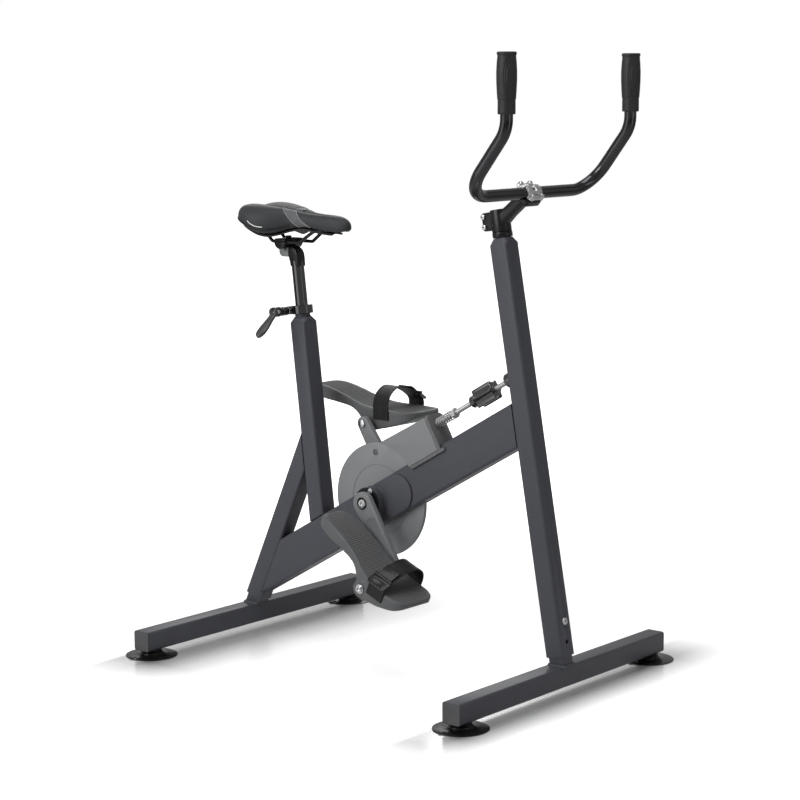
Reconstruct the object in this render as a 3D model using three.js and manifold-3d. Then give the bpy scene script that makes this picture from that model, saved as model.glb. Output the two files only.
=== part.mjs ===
// Pool exercise bike, built as separate pieces, in millimetres.
// X points forward, Y to the rider's left and Z up. The origin lies on the floor,
// midway between the two base tubes and under the middle of the frame.

import * as THREE from 'three';
import { mergeVertices } from 'three/addons/utils/BufferGeometryUtils.js';
import Module from 'manifold-3d';

const wasm = await Module();
wasm.setup();

// Sizes of the whole frame

const fit = 0.3; // gap between pieces that rest on each other
const overrun = 3; // how far a cutter reaches past the face it opens
const vertexStep = 0.0001; // corners closer than this are one corner
const square = { width: 40, wall: 2.8, corner: 4, innerCornerShare: 0.5, slide: 0.35 };

const base = { spacing: 792, length: 657, standing: 13, plugCap: 3, plugDepth: 16 };
const foot = {
  inset: 28.5, cupRadius: 52, rim: 1.4, crown: 3.6, cavityRadius: 40, cavityDepth: 0.8,
  ringRadius: 23, ringHeight: 4.6, neckRadius: 20, studRadius: 4, studLength: 12, grooveShare: 0.9,
};
const stub = { reach: 112, beadHeight: 4, beadFoot: 5, beadTop: 1 };
const sleeveBolt = {
  height: 83, openHole: 44, radius: 4, headRadius: 7, headHeight: 3.6, headEdge: 2.1, length: 12,
};

const mast = {
  footOffset: 4.5, lean: 10.04, sleeveEnd: 17.5, squareTop: 799, taper: 16, taperRadius: 17.5,
  neckRadius: 14.3, neckHeight: 58, neckBore: 10.5,
};
const mastCollar = { radius: 19, height: 10, lift: 11.3, chamfer: 1.2 };

const beam = { lean: 29.7, height: 80, wall: 3, corner: 6, slotGap: 4, slotSide: 2 };
const crankCentre = { x: -42, z: 316, overBeam: 9.4 };
const seatTube = {
  place: -165.2, lean: 6.78, squareTop: 396, taper: 15.5, ledge: 1, neckRadius: 15.5, neckHeight: 20,
  guide: 12,
};
const leg = { footOffset: 4.9, lean: 24.4, sleeveEnd: 19 };

// Sizes of the stem and the handlebar

const stem = {
  radius: 18.5, height: 40, capThickness: 3, lugReach: 37, lugHalf: 11, lugLow: 5, slit: 1.6,
  boltPlace: 31, boltLow: 13, boltHigh: 32, boltRadius: 5, boltHead: 4, barForward: 74, barUp: 62,
  neckHalf: 13, neckSide: 14, clampHalf: 21, clampSide: 22, clampBack: 17, faceTilt: 40, split: 0.8,
};
const barCap = { thickness: 14.2, screwPlace: 17.4, screwSide: 14, screwRadius: 4.2, screwHead: 1.6, corner: 5 };
const bar = {
  radius: 11.5, wall: 2, halfSpan: 192.5, reach: 92.5, rise: 119, top: 255, bend: 60, sides: 8, bendSteps: 4,
};
const grip = { radius: 16.8, lowRadius: 15, length: 108, flange: 18.6, flangeHeight: 7, cap: 4, bevel: 2 };

// Sizes of the seat post and the saddle

const seatCollar = {
  radius: 22, height: 17, lift: 5, lugReach: 36, lugHalf: 10, slit: 1.6, skewerPlace: 28,
};
const skewer = {
  radius: 2.5, pivot: 50, pinHalf: 10.5, washerRadius: 6.5, washer: 3, neckRadius: 5, neck: 4,
  barrelRadius: 9.5, nutRadius: 7, nutLength: 8,
};
const lever = {
  hubRadius: 10, hubHalf: 9, length: 74, drop: 38.3, halfWidth: 9.5, thickness: 7, slotHalf: 3.2,
};
const post = { radius: 12.7, wall: 2, top: 524, length: 330, plug: 10 };
const head = { halfLength: 13, depth: 24, rear: 8.5, heel: 12, halfWidth: 12 };
const cradle = {
  x: -286, z: 820, radius: 15, halfWidth: 27, seatGap: 0.5, plateThickness: 6, plateHalf: 14,
  boltRadius: 3, boltDepth: 12, headRadius: 6.5, headHeight: 5,
};
const rail = {
  radius: 3.5, spread: 20, rearSpread: 22, rearX: -343, rearZ: 852, bendRearX: -312, bendFrontX: -238,
  frontX: -204, frontSpread: 15, frontZ: 843, noseX: -178, noseSpread: 12, noseZ: 845, bend: 10,
  sides: 8, bendSteps: 3,
};
const saddle = {
  noseX: -120, length: 265, halfWidth: 79, low: 835, height: 62, topSteps: 16, underHalfSteps: 4,
};
const shell = {
  thickness: 3.5, gap: 1.1, noseSocketHalf: 14, noseSocketBack: 20, noseSocketFront: 7, noseSocketRise: 2.3,
  rearSocketHalf: 9, socketHang: 3, bumperX: -245, bumperRadius: 7, bumperHalf: 12, bumperDrop: 6,
};

// Sizes of the crankset, the pedals and the brake

const cheek = { thickness: 3.7, front: 62, rear: 58, margin: 2 };
const housing = { radius: 30, inner: 15, outer: 42, bore: 22 };
const bearing = {
  inner: 26, flange: 3, screwPlace: 25.5, screwRadius: 3.6, screwHead: 1.5, screwTurn: 100,
  screws: 3,
};
const axle = { radius: 10, endRadius: 8, shoulder: 47.5, end: 55, tapRadius: 4.2, tapDepth: 20 };
const crank = {
  angle: 56.6, length: 165, inner: 48, thickness: 12, bigRadius: 23, smallRadius: 14, bevel: 1.2,
  pocketRadius: 10, pocketDepth: 3.5, spindleRadius: 7, boltRadius: 7.5, boltHead: 4, boltShank: 4,
};
const disc = {
  radius: 114, thickness: 8, hubRadius: 28, hubWidth: 18, holeRadius: 6.5, holePlace: 95, holeTurn: 153.5,
};
const spindle = {
  radius: 6.5, hexRadius: 8.5, hexHeight: 4, washerRadius: 9.5, washer: 1.6, headRadius: 7, headHeight: 4,
};
const pedal = {
  inner: 70, heel: 174, toe: 108, bossRadius: 18, bossEnd: 172, ballWidth: 110, height: 60,
  lean: { right: -23, left: 0 },
};
const strap = {
  width: 40, thickness: 2.6, side: 0.35, foot: 8, from: { right: 22, left: 12 },
  height: { right: 60, left: 66 }, steps: 22,
};
const buckle = {
  plate: 3, width: 44, length: 24, knuckleRadius: 3.4, pin: 1.6, leverLength: 30, leverThickness: 3.4,
  lift: 0.4, place: 0.66, ear: 5,
};
const shoe = {
  faceRadius: 120, faceTop: 50, topBackX: 79, topBack: 95.6, frontX: 202, topFront: 91.6,
  skirt: 8, halfWidth: 25, rodSocket: 22,
};
const pad = { gap: 1, low: 17, high: 48, halfWidth: 12 };
const carrier = { thickness: 6.7, top: 94.6, lip: 6, lipBack: 122, lipFront: 217, corner: 10, beamGap: 0.5 };
const rod = {
  radius: 5, height: 73.6, back: 190, end: 409, nutPlace: 253, nutLength: 9, nutRadius: 10.4, play: 0.3,
};
const spring = { turns: 7, radius: 8.5, wire: 1.25, curlSteps: 8, sides: 5 };
const knob = {
  back: 308, neckRadius: 12, neckLength: 14, length: 63, radius: 18, lobe: 2, lobes: 6, steps: 36, bevel: 2,
};
const bush = { radius: 15, back: 400, socket: 14, dome: 8 };

const colours = {
  paint: [0x4c4e54, 0.45, 0.1],
  rubber: [0x141415, 0.5, 0],
  blackPlastic: [0x1b1c1e, 0.5, 0],
  steel: [0xd3d4d6, 0.25, 0.9],
  grey: [0x808384, 0.5, 0.3],
  paleGrey: [0x969899, 0.5, 0.1],
  silver: [0xc2c3c5, 0.35, 0.6],
  blackMetal: [0x1c1c1f, 0.3, 0.4],
  footbed: [0x3c3d3e, 0.7, 0],
  cushion: [0x3d3f42, 0.75, 0],
};

// Solids

function solidOf(geometry) {
  const bare = geometry.clone();
  for (const name of Object.keys(bare.attributes)) {
    if (name !== 'position') bare.deleteAttribute(name);
  }
  const merged = mergeVertices(bare, vertexStep);
  const corners = merged.index.array;
  const kept = [];
  for (let i = 0; i < corners.length; i += 3) {
    const [a, b, c] = [corners[i], corners[i + 1], corners[i + 2]];
    if (a !== b && b !== c && c !== a) kept.push(a, b, c);
  }
  const vertProperties = merged.attributes.position.array;
  return new wasm.Manifold(new wasm.Mesh({ numProp: 3, vertProperties, triVerts: new Uint32Array(kept) }));
}

function geometryOf(solid) {
  const mesh = solid.getMesh();
  const geometry = new THREE.BufferGeometry();
  geometry.setAttribute('position', new THREE.BufferAttribute(mesh.vertProperties, 3));
  geometry.setIndex(new THREE.BufferAttribute(mesh.triVerts, 1));
  geometry.computeVertexNormals();
  return geometry;
}

function join(first, ...others) {
  return geometryOf(others.reduce((sum, other) => sum.add(solidOf(other)), solidOf(first)));
}

function cut(first, ...tools) {
  return geometryOf(tools.reduce((rest, tool) => rest.subtract(solidOf(tool)), solidOf(first)));
}

function common(first, second) {
  return geometryOf(solidOf(first).intersect(solidOf(second)));
}

// Swaps left and right, and turns each face so that it still points outwards.
function mirrored(geometry) {
  const flipped = geometryOf(solidOf(geometry));
  flipped.scale(1, -1, 1);
  const index = flipped.index.array;
  for (let i = 0; i < index.length; i += 3) [index[i], index[i + 1]] = [index[i + 1], index[i]];
  flipped.computeVertexNormals();
  return flipped;
}

function onSide(geometry, side) {
  return side < 0 ? mirrored(geometry) : geometry;
}

// Basic shapes

const radians = THREE.MathUtils.degToRad;
const quarter = Math.PI / 2;
const full = Math.PI * 2;

function roundedRectangle(width, height, radius) {
  const x = width / 2 - radius;
  const y = height / 2 - radius;
  const shape = new THREE.Shape();
  shape.absarc(x, -y, radius, -quarter, 0);
  shape.absarc(x, y, radius, 0, quarter);
  shape.absarc(-x, y, radius, quarter, 2 * quarter);
  shape.absarc(-x, -y, radius, 2 * quarter, 3 * quarter);
  shape.closePath();
  return shape;
}

function outline(points) {
  return new THREE.Shape(points.map(([x, y]) => new THREE.Vector2(x, y)));
}

function extruded(shape, depth, curveSegments = 3, bevel = 0) {
  const bevelSettings = { bevelThickness: bevel, bevelSize: bevel, bevelOffset: -bevel, bevelSegments: 1 };
  const flat = depth - 2 * bevel;
  const geometry = new THREE.ExtrudeGeometry(shape, {
    depth: flat, curveSegments, bevelEnabled: bevel > 0, ...bevelSettings,
  });
  return geometry.translate(0, 0, -flat / 2);
}

// A shape drawn in X and Z, made as thick as width along Y, about the middle.
function slab(shape, width, middle = 0, curveSegments = 3, bevel = 0) {
  return extruded(shape, width, curveSegments, bevel).rotateX(quarter).translate(0, middle, 0);
}

// A shape drawn in Y and Z, made as long as length along X, about the middle.
function plank(shape, length, middle = 0, curveSegments = 3) {
  const turn = new THREE.Matrix4().makeBasis(
    new THREE.Vector3(0, 1, 0), new THREE.Vector3(0, 0, 1), new THREE.Vector3(1, 0, 0),
  );
  return extruded(shape, length, curveSegments).applyMatrix4(turn).translate(middle, 0, 0);
}

function block(low, high) {
  const size = high.map((value, i) => value - low[i]);
  return new THREE.BoxGeometry(...size).translate(...low.map((value, i) => value + size[i] / 2));
}

// A turned body about Z, from its half outline of radius and height.
function turned(profile, sides) {
  const points = profile.map(([radius, height]) => new THREE.Vector2(radius, height));
  if (THREE.ShapeUtils.area(points) < 0) points.reverse();
  if (profile[0][0] > 0) points.push(points[0].clone());
  return new THREE.LatheGeometry(points, sides).rotateX(quarter);
}

function cylinder(radius, low, high, sides = 16) {
  return turned([[0, low], [radius, low], [radius, high], [0, high]], sides);
}

const alongX = (geometry) => geometry.rotateY(quarter);
const alongY = (geometry) => geometry.rotateX(-quarter);

// The straight runs and round bends of a bent tube, as a list of points.
function bentRoute(corners, bend, steps) {
  const route = [corners[0]];
  for (let i = 1; i < corners.length - 1; i += 1) {
    const corner = corners[i];
    const back = corners[i - 1].clone().sub(corner).normalize();
    const ahead = corners[i + 1].clone().sub(corner).normalize();
    const half = back.angleTo(ahead) / 2;
    const centre = back.clone().add(ahead).normalize().multiplyScalar(bend / Math.sin(half)).add(corner);
    const start = back.multiplyScalar(bend / Math.tan(half)).add(corner).sub(centre);
    const end = ahead.multiplyScalar(bend / Math.tan(half)).add(corner).sub(centre);
    const sweep = start.angleTo(end);
    for (let k = 0; k <= steps; k += 1) {
      const share = k / steps;
      const point = start.clone().multiplyScalar(Math.sin((1 - share) * sweep) / Math.sin(sweep));
      point.addScaledVector(end, Math.sin(share * sweep) / Math.sin(sweep)).add(centre);
      route.push(point);
    }
  }
  route.push(corners[corners.length - 1]);
  return route;
}

// One unbroken round tube along a list of points, hollow where a bore is given.
function tubeAlong(route, radius, sides, bore = 0) {
  const vertices = [];
  const index = [];
  const radii = bore > 0 ? [radius, bore] : [radius];
  let normal = new THREE.Vector3(0, 0, 1);
  route.forEach((point, i) => {
    const before = route[Math.max(i - 1, 0)];
    const after = route[Math.min(i + 1, route.length - 1)];
    const tangent = after.clone().sub(before).normalize();
    if (Math.abs(tangent.dot(normal)) > 0.99) normal = new THREE.Vector3(1, 0, 0);
    normal = normal.clone().addScaledVector(tangent, -tangent.dot(normal)).normalize();
    const side = tangent.clone().cross(normal);
    for (const size of radii) {
      for (let k = 0; k < sides; k += 1) {
        const angle = (k / sides) * full;
        const corner = point.clone().addScaledVector(normal, size * Math.cos(angle));
        vertices.push(...corner.addScaledVector(side, size * Math.sin(angle)));
      }
    }
  });
  const ring = radii.length * sides;
  const quad = (a, b, c, d) => index.push(a, b, c, a, c, d);
  for (let i = 0; i + 1 < route.length; i += 1) {
    for (let k = 0; k < sides; k += 1) {
      const [here, next] = [i * ring + k, i * ring + ((k + 1) % sides)];
      quad(here, next, next + ring, here + ring);
      if (bore > 0) quad(next + sides, here + sides, here + sides + ring, next + sides + ring);
    }
  }
  const last = (route.length - 1) * ring;
  for (let k = 0; k < sides; k += 1) {
    const next = (k + 1) % sides;
    if (bore > 0) {
      quad(k, k + sides, next + sides, next);
      quad(last + next, last + next + sides, last + k + sides, last + k);
    } else if (k > 0 && k + 1 < sides) {
      index.push(0, k + 1, k, last, last + k, last + k + 1);
    }
  }
  const geometry = new THREE.BufferGeometry();
  geometry.setAttribute('position', new THREE.Float32BufferAttribute(vertices, 3));
  return geometry.setIndex(index);
}

// Rings of points joined into one skin, with a flat fan over each end.
function lofted(rings) {
  const count = rings[0].length;
  const vertices = rings.flat(2);
  const index = [];
  for (let i = 0; i + 1 < rings.length; i += 1) {
    for (let k = 0; k < count; k += 1) {
      const [here, next] = [i * count + k, i * count + ((k + 1) % count)];
      index.push(here, next + count, next, here, here + count, next + count);
    }
  }
  const last = (rings.length - 1) * count;
  for (let k = 1; k + 1 < count; k += 1) index.push(0, k, k + 1, last, last + k + 1, last + k);
  const geometry = new THREE.BufferGeometry();
  geometry.setAttribute('position', new THREE.Float32BufferAttribute(vertices, 3));
  return geometry.setIndex(index);
}

// The scene graph

const bike = new THREE.Group();

function frameAt(x, z, lean, parent = bike) {
  const group = new THREE.Group();
  group.position.set(x, 0, z);
  group.rotation.y = -radians(lean);
  parent.add(group);
  group.updateWorldMatrix(true, false);
  return group;
}

function add(group, name, geometry, look) {
  const [color, roughness, metalness] = colours[look];
  const material = new THREE.MeshStandardMaterial({ color, roughness, metalness });
  const mesh = new THREE.Mesh(geometry, material);
  mesh.name = name;
  group.add(mesh);
}

// The same solid, seen from another group's frame.
function carried(geometry, from, to) {
  const matrix = to.matrixWorld.clone().invert().multiply(from.matrixWorld);
  return geometry.clone().applyMatrix4(matrix);
}

const frontBase = frameAt(base.spacing / 2, base.standing, 0);
const rearBase = frameAt(-base.spacing / 2, base.standing, 0);
const baseTop = base.standing + square.width;
const mastFrame = frameAt(base.spacing / 2 + mast.footOffset, baseTop, mast.lean);
const legFrame = frameAt(-base.spacing / 2 + leg.footOffset, baseTop, -leg.lean);
const beamFrame = frameAt(crankCentre.x, crankCentre.z, beam.lean);
const beamTop = beam.height / 2 - crankCentre.overBeam;
const beamBottom = -beam.height / 2 - crankCentre.overBeam;
const seatFoot = beamFrame.localToWorld(new THREE.Vector3(seatTube.place, 0, beamTop));
const seatFrame = frameAt(seatFoot.x, seatFoot.z, seatTube.lean);
const crankFrame = frameAt(crankCentre.x, crankCentre.z, -crank.angle);

const frameReach = base.spacing;
const halfSquare = square.width / 2;
const inside = square.width - 2 * square.wall;
const footPlace = base.length / 2 - foot.inset;
const stubWidth = inside - 2 * square.slide;

// Everything past a tube's face at local X, on the side that the sign gives.
function beyond(x, sign) {
  const far = x + sign * frameReach;
  return block([Math.min(x, far), -frameReach, -frameReach], [Math.max(x, far), frameReach, frameReach]);
}

function squareColumn(width, low, high, shrink = 0) {
  const corner = shrink > 0 ? square.corner * square.innerCornerShare : square.corner;
  const shape = roundedRectangle(width - 2 * shrink, width - 2 * shrink, corner);
  return extruded(shape, high - low).translate(0, 0, (low + high) / 2);
}

// Base tubes with their end plugs and feet

function baseTube() {
  const length = base.length - 2 * (base.plugCap + fit);
  const outer = squareColumn(square.width, -length / 2, length / 2);
  const inner = squareColumn(square.width, -length / 2 - overrun, length / 2 + overrun, square.wall);
  const tube = cut(outer, inner);
  alongY(tube).translate(0, 0, halfSquare);
  const holes = [-1, 1].map((side) => {
    const hole = cylinder(foot.studRadius + fit, -overrun, square.wall + overrun, 12);
    return hole.translate(0, side * footPlace, 0);
  });
  return cut(tube, ...holes);
}

function endPlug(side) {
  const face = base.length / 2;
  const flange = squareColumn(square.width, face - base.plugCap, face);
  const tongueEnd = face - base.plugCap - base.plugDepth;
  const half = stubWidth / 2 - 2 * fit;
  const tongue = block([-half, -half, tongueEnd], [half, half, face - base.plugCap + fit]);
  const plug = alongY(join(flange, tongue)).translate(0, 0, halfSquare);
  return onSide(plug, side);
}

function suctionFoot() {
  const neckTop = base.standing - fit;
  const ringTop = foot.crown + foot.ringHeight;
  const groove = foot.neckRadius * foot.grooveShare;
  const profile = [
    [0, foot.cavityDepth], [foot.cavityRadius, 0], [foot.cupRadius, 0], [foot.cupRadius, foot.rim],
    [foot.ringRadius, foot.crown], [foot.ringRadius, ringTop], [groove, ringTop], [foot.neckRadius, neckTop],
    [foot.studRadius, neckTop], [foot.studRadius, neckTop + square.wall + foot.studLength],
    [0, neckTop + square.wall + foot.studLength],
  ];
  return turned(profile, 20);
}

for (const [end, group] of [['front', frontBase], ['rear', rearBase]]) {
  add(group, `${end}_base_tube`, baseTube(), 'paint');
  for (const [label, side] of [['right', -1], ['left', 1]]) {
    add(group, `${end}_${label}_end_plug`, endPlug(side), 'blackPlastic');
    const place = suctionFoot().translate(0, side * footPlace, -base.standing);
    add(group, `${end}_${label}_foot`, place, 'rubber');
  }
}

// Stubs welded on the base tubes, and the sleeves of the mast and the rear leg over them

function sleeveStub(frame) {
  const post = squareColumn(stubWidth, -square.width, stub.reach);
  const bore = squareColumn(stubWidth, -square.width - overrun, stub.reach + overrun, square.wall);
  const corners = 4;
  const halfFoot = stubWidth / 2 + stub.beadFoot;
  const halfTop = stubWidth / 2 + stub.beadTop;
  const bead = new THREE.CylinderGeometry(
    halfTop * Math.SQRT2, halfFoot * Math.SQRT2, stub.beadHeight, corners,
  ).rotateY(quarter / 2).rotateX(quarter).translate(0, 0, fit + stub.beadHeight / 2);
  bead.applyMatrix4(new THREE.Matrix4().makeTranslation(frame.position.x, 0, frame.position.z));
  const floor = block([-frameReach, -frameReach, -frameReach], [frameReach, frameReach, baseTop + fit]);
  return cut(join(post, carried(bead, bike, frame)), bore, carried(floor, bike, frame));
}

function boltHoles(sign, reach) {
  return [sleeveBolt.height, sleeveBolt.openHole].map((height) => {
    const hole = alongX(cylinder(sleeveBolt.radius + fit, halfSquare - reach, halfSquare + overrun, 12));
    if (sign < 0) hole.rotateZ(Math.PI);
    return hole.translate(0, 0, height);
  });
}

function sleeveBoltBody(sign) {
  const face = halfSquare + fit;
  const tip = face - sleeveBolt.length;
  const profile = [
    [0, tip], [sleeveBolt.radius, tip], [sleeveBolt.radius, face], [sleeveBolt.headRadius, face],
    [sleeveBolt.headRadius, face + sleeveBolt.headHeight / 2],
    [sleeveBolt.headRadius - sleeveBolt.headEdge, face + sleeveBolt.headHeight],
    [0, face + sleeveBolt.headHeight],
  ];
  const bolt = alongX(turned(profile, 12));
  if (sign < 0) bolt.rotateZ(Math.PI);
  return bolt.translate(0, 0, sleeveBolt.height);
}

const holeReach = 2 * square.wall + square.slide + overrun;
add(mastFrame, 'front_sleeve_stub', cut(sleeveStub(mastFrame), ...boltHoles(1, holeReach)), 'paint');
add(legFrame, 'rear_sleeve_stub', cut(sleeveStub(legFrame), ...boltHoles(-1, holeReach)), 'paint');
add(mastFrame, 'front_sleeve_bolt', sleeveBoltBody(1), 'steel');
add(legFrame, 'rear_sleeve_bolt', sleeveBoltBody(-1), 'steel');

// A square column whose top tapers to a round neck, over a square bore
function neckedColumn(low, squareTop, taper, taperRadius, neckRadius, neckTop, neckBore, boreTop) {
  const corner = halfSquare * Math.SQRT2;
  const column = squareColumn(square.width, low, squareTop);
  const cone = turned([
    [0, low - overrun], [corner, low - overrun], [corner, squareTop - taper], [taperRadius, squareTop],
    [0, squareTop],
  ], 20);
  const neck = cylinder(neckRadius, squareTop - taper, neckTop);
  const squareBore = squareColumn(square.width, low - overrun, boreTop, square.wall);
  const roundBore = cylinder(neckBore, low, neckTop + overrun);
  return cut(join(common(column, cone), neck), squareBore, roundBore);
}

const neckTop = mast.squareTop + mast.neckHeight;
const mastBody = neckedColumn(
  mast.sleeveEnd, mast.squareTop, mast.taper, mast.taperRadius, mast.neckRadius, neckTop, mast.neckBore,
  mast.squareTop - mast.taper - square.wall,
);
add(mastFrame, 'mast', cut(mastBody, ...boltHoles(1, holeReach)), 'paint');

const seatNeckTop = seatTube.squareTop + seatTube.taper + seatTube.neckHeight;
const seatBody = neckedColumn(
  -halfSquare, seatTube.squareTop + seatTube.taper, seatTube.taper, seatTube.neckRadius + seatTube.ledge,
  seatTube.neckRadius, seatNeckTop, post.radius + fit, seatTube.squareTop - seatTube.guide,
);
const underBeamTop = block([-frameReach, -frameReach, -frameReach], [frameReach, frameReach, beamTop + fit]);
add(seatFrame, 'seat_tube', cut(seatBody, carried(underBeamTop, beamFrame, seatFrame)), 'paint');

const legBody = cut(
  squareColumn(square.width, leg.sleeveEnd, frameReach),
  squareColumn(square.width, leg.sleeveEnd - overrun, frameReach + overrun, square.wall),
  ...boltHoles(-1, holeReach),
);
const seatTubeBack = carried(beyond(-halfSquare - fit, 1), seatFrame, legFrame);
add(legFrame, 'rear_leg', cut(legBody, seatTubeBack), 'paint');

// The sloping main beam, with its slots for the disc and holes for the axle housings

function mainBeam() {
  const middle = -crankCentre.overBeam;
  const outer = roundedRectangle(square.width, beam.height, beam.corner);
  const bore = roundedRectangle(
    square.width - 2 * beam.wall, beam.height - 2 * beam.wall, beam.corner * square.innerCornerShare,
  );
  const body = plank(outer, frameReach + square.width).translate(0, 0, middle);
  const space = plank(bore, frameReach + square.width + overrun).translate(0, 0, middle);
  const slotWidth = disc.thickness / 2 + beam.slotSide;
  const slot = alongY(cylinder(disc.radius + beam.slotGap, -slotWidth, slotWidth, 36));
  const sideHole = alongY(cylinder(housing.radius + fit, -square.width, square.width, 20));
  const mastBack = carried(beyond(-halfSquare - fit, 1), mastFrame, beamFrame);
  const legFront = carried(beyond(halfSquare + fit, -1), legFrame, beamFrame);
  return cut(body, space, slot, sideHole, mastBack, legFront);
}
add(beamFrame, 'main_beam', mainBeam(), 'paint');

// Axle housings with their welded cheek plates, and flanged bearings

function obround(front, rear, radius) {
  const shape = new THREE.Shape();
  shape.absarc(front, 0, radius, -quarter, quarter);
  shape.absarc(-rear, 0, radius, quarter, 3 * quarter);
  shape.closePath();
  return shape;
}

function axleHousing(side) {
  const plateRadius = beam.height / 2 - cheek.margin;
  const plateMiddle = halfSquare + fit + cheek.thickness / 2;
  const plate = slab(obround(cheek.front, cheek.rear, plateRadius), cheek.thickness, plateMiddle, 8);
  plate.translate(0, 0, -crankCentre.overBeam);
  const tube = alongY(cylinder(housing.radius, housing.inner, housing.outer, 20));
  const bore = alongY(cylinder(housing.bore, housing.inner - overrun, housing.outer + overrun, 20));
  return onSide(cut(join(plate, tube), bore), side);
}

function axleBearing(side) {
  const seat = housing.outer + fit;
  const face = seat + bearing.flange;
  const profile = [
    [axle.radius + fit, bearing.inner], [housing.bore - fit, bearing.inner], [housing.bore - fit, seat],
    [housing.radius, seat], [housing.radius, face], [axle.radius + fit, face],
  ];
  const screws = Array.from({ length: bearing.screws }, (_, i) => {
    const angle = radians(bearing.screwTurn) + (i / bearing.screws) * full;
    const place = [bearing.screwPlace * Math.cos(angle), 0, bearing.screwPlace * Math.sin(angle)];
    return alongY(cylinder(bearing.screwRadius, seat, face + bearing.screwHead, 8)).translate(...place);
  });
  return onSide(join(alongY(turned(profile, 20)), ...screws), side);
}

for (const [label, side] of [['right', -1], ['left', 1]]) {
  add(beamFrame, `axle_housing_${label}`, axleHousing(side), 'paint');
  add(beamFrame, `axle_bearing_${label}`, axleBearing(side), 'silver');
}

// Crankset: axle, cranks, bolts and the brake disc

function crankAxle() {
  const profile = [
    [0, -axle.end + axle.tapDepth], [axle.tapRadius, -axle.end + axle.tapDepth], [axle.tapRadius, -axle.end],
    [axle.endRadius, -axle.end], [axle.endRadius, -axle.shoulder], [axle.radius, -axle.shoulder],
    [axle.radius, axle.shoulder], [axle.endRadius, axle.shoulder], [axle.endRadius, axle.end],
    [axle.tapRadius, axle.end], [axle.tapRadius, axle.end - axle.tapDepth],
    [0, axle.end - axle.tapDepth],
  ];
  return alongY(turned(profile, 16));
}

function crankArm(side) {
  const slope = Math.asin((crank.bigRadius - crank.smallRadius) / crank.length);
  const shape = new THREE.Shape();
  shape.absarc(0, 0, crank.bigRadius, quarter - slope, -quarter + slope, false);
  shape.absarc(crank.length, 0, crank.smallRadius, -quarter + slope, quarter - slope, false);
  shape.closePath();
  const middle = crank.inner + crank.thickness / 2;
  const outer = crank.inner + crank.thickness;
  const arm = slab(shape, crank.thickness, middle, 10, crank.bevel);
  const pocket = alongY(cylinder(crank.pocketRadius, outer - crank.pocketDepth, outer + overrun, 12));
  const axleHole = alongY(cylinder(axle.endRadius + fit, crank.inner - overrun, outer, 12));
  const spindleHole = alongY(cylinder(crank.spindleRadius + fit, crank.inner - overrun, outer + overrun, 12));
  const body = cut(arm, pocket, axleHole, spindleHole.translate(crank.length, 0, 0));
  return side < 0 ? mirrored(body) : body.rotateY(Math.PI);
}

function crankBolt(side) {
  const seat = crank.inner + crank.thickness - crank.pocketDepth + fit;
  const headTop = seat + crank.boltHead;
  const tip = axle.end - axle.tapDepth / 2;
  const socket = crank.boltRadius / 2;
  const profile = [
    [0, tip], [crank.boltShank, tip], [crank.boltShank, seat], [crank.boltRadius, seat],
    [crank.boltRadius, headTop], [socket, headTop], [socket, headTop - crank.boltHead / 2],
    [0, headTop - crank.boltHead / 2],
  ];
  return onSide(alongY(turned(profile, 16)), side);
}

function brakeDisc() {
  const face = disc.thickness / 2;
  const hub = disc.hubWidth / 2;
  const bore = axle.radius + fit;
  const half = [
    [bore, hub], [disc.hubRadius, hub], [disc.hubRadius, face], [disc.radius, face],
  ];
  const other = half.map(([radius, height]) => [radius, -height]).reverse();
  const hole = alongY(cylinder(disc.holeRadius, -disc.thickness, disc.thickness, 12));
  const angle = radians(disc.holeTurn);
  hole.translate(disc.holePlace * Math.cos(angle), 0, disc.holePlace * Math.sin(angle));
  return cut(alongY(turned([...half, ...other], 36)), hole);
}

add(crankFrame, 'crank_axle', crankAxle(), 'steel');
add(crankFrame, 'brake_disc', brakeDisc(), 'grey');
for (const [label, side] of [['right', -1], ['left', 1]]) {
  add(crankFrame, `crank_${label}`, crankArm(side), 'grey');
  add(crankFrame, `crank_bolt_${label}`, crankBolt(side), 'steel');
}

// Pedals with their spindles, straps and buckles

function pedalSpindle(side) {
  const crankOuter = crank.inner + crank.thickness;
  const end = pedal.bossEnd + fit;
  const profile = [
    [0, crank.inner - fit], [crank.spindleRadius, crank.inner - fit], [crank.spindleRadius, crankOuter],
    [spindle.radius, crankOuter], [spindle.radius, end], [spindle.washerRadius, end],
    [spindle.washerRadius, end + spindle.washer], [spindle.headRadius, end + spindle.washer],
    [spindle.headRadius, end + spindle.washer + spindle.headHeight],
    [0, end + spindle.washer + spindle.headHeight],
  ];
  const hexSides = 6;
  const hexLow = crank.inner - fit - spindle.hexHeight;
  const hex = cylinder(spindle.hexRadius, hexLow, crank.inner - fit, hexSides);
  return onSide(alongY(join(turned(profile, 14), hex)), side);
}

// Side view of the footbed, as shares of its length behind and ahead of the spindle and of its height.
const pedalTopShares = [
  [-1, 0.867], [-0.977, 1], [-0.92, 1.083], [-0.805, 1.1], [-0.678, 1.05], [-0.517, 0.942],
  [-0.356, 0.792], [-0.218, 0.65], [-0.103, 0.558], [0.074, 0.492], [0.463, 0.458], [0.778, 0.442],
  [0.935, 0.45], [1, 0.383],
];
const pedalUnderShares = [
  [0.963, 0.25], [0.833, 0.1], [0.667, 0], [0.481, -0.1], [0.278, -0.183], [0.074, -0.233],
  [-0.057, -0.167], [-0.126, 0.083], [-0.195, 0.3], [-0.299, 0.458], [-0.506, 0.558], [-0.713, 0.633],
  [-0.92, 0.75],
];
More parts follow.
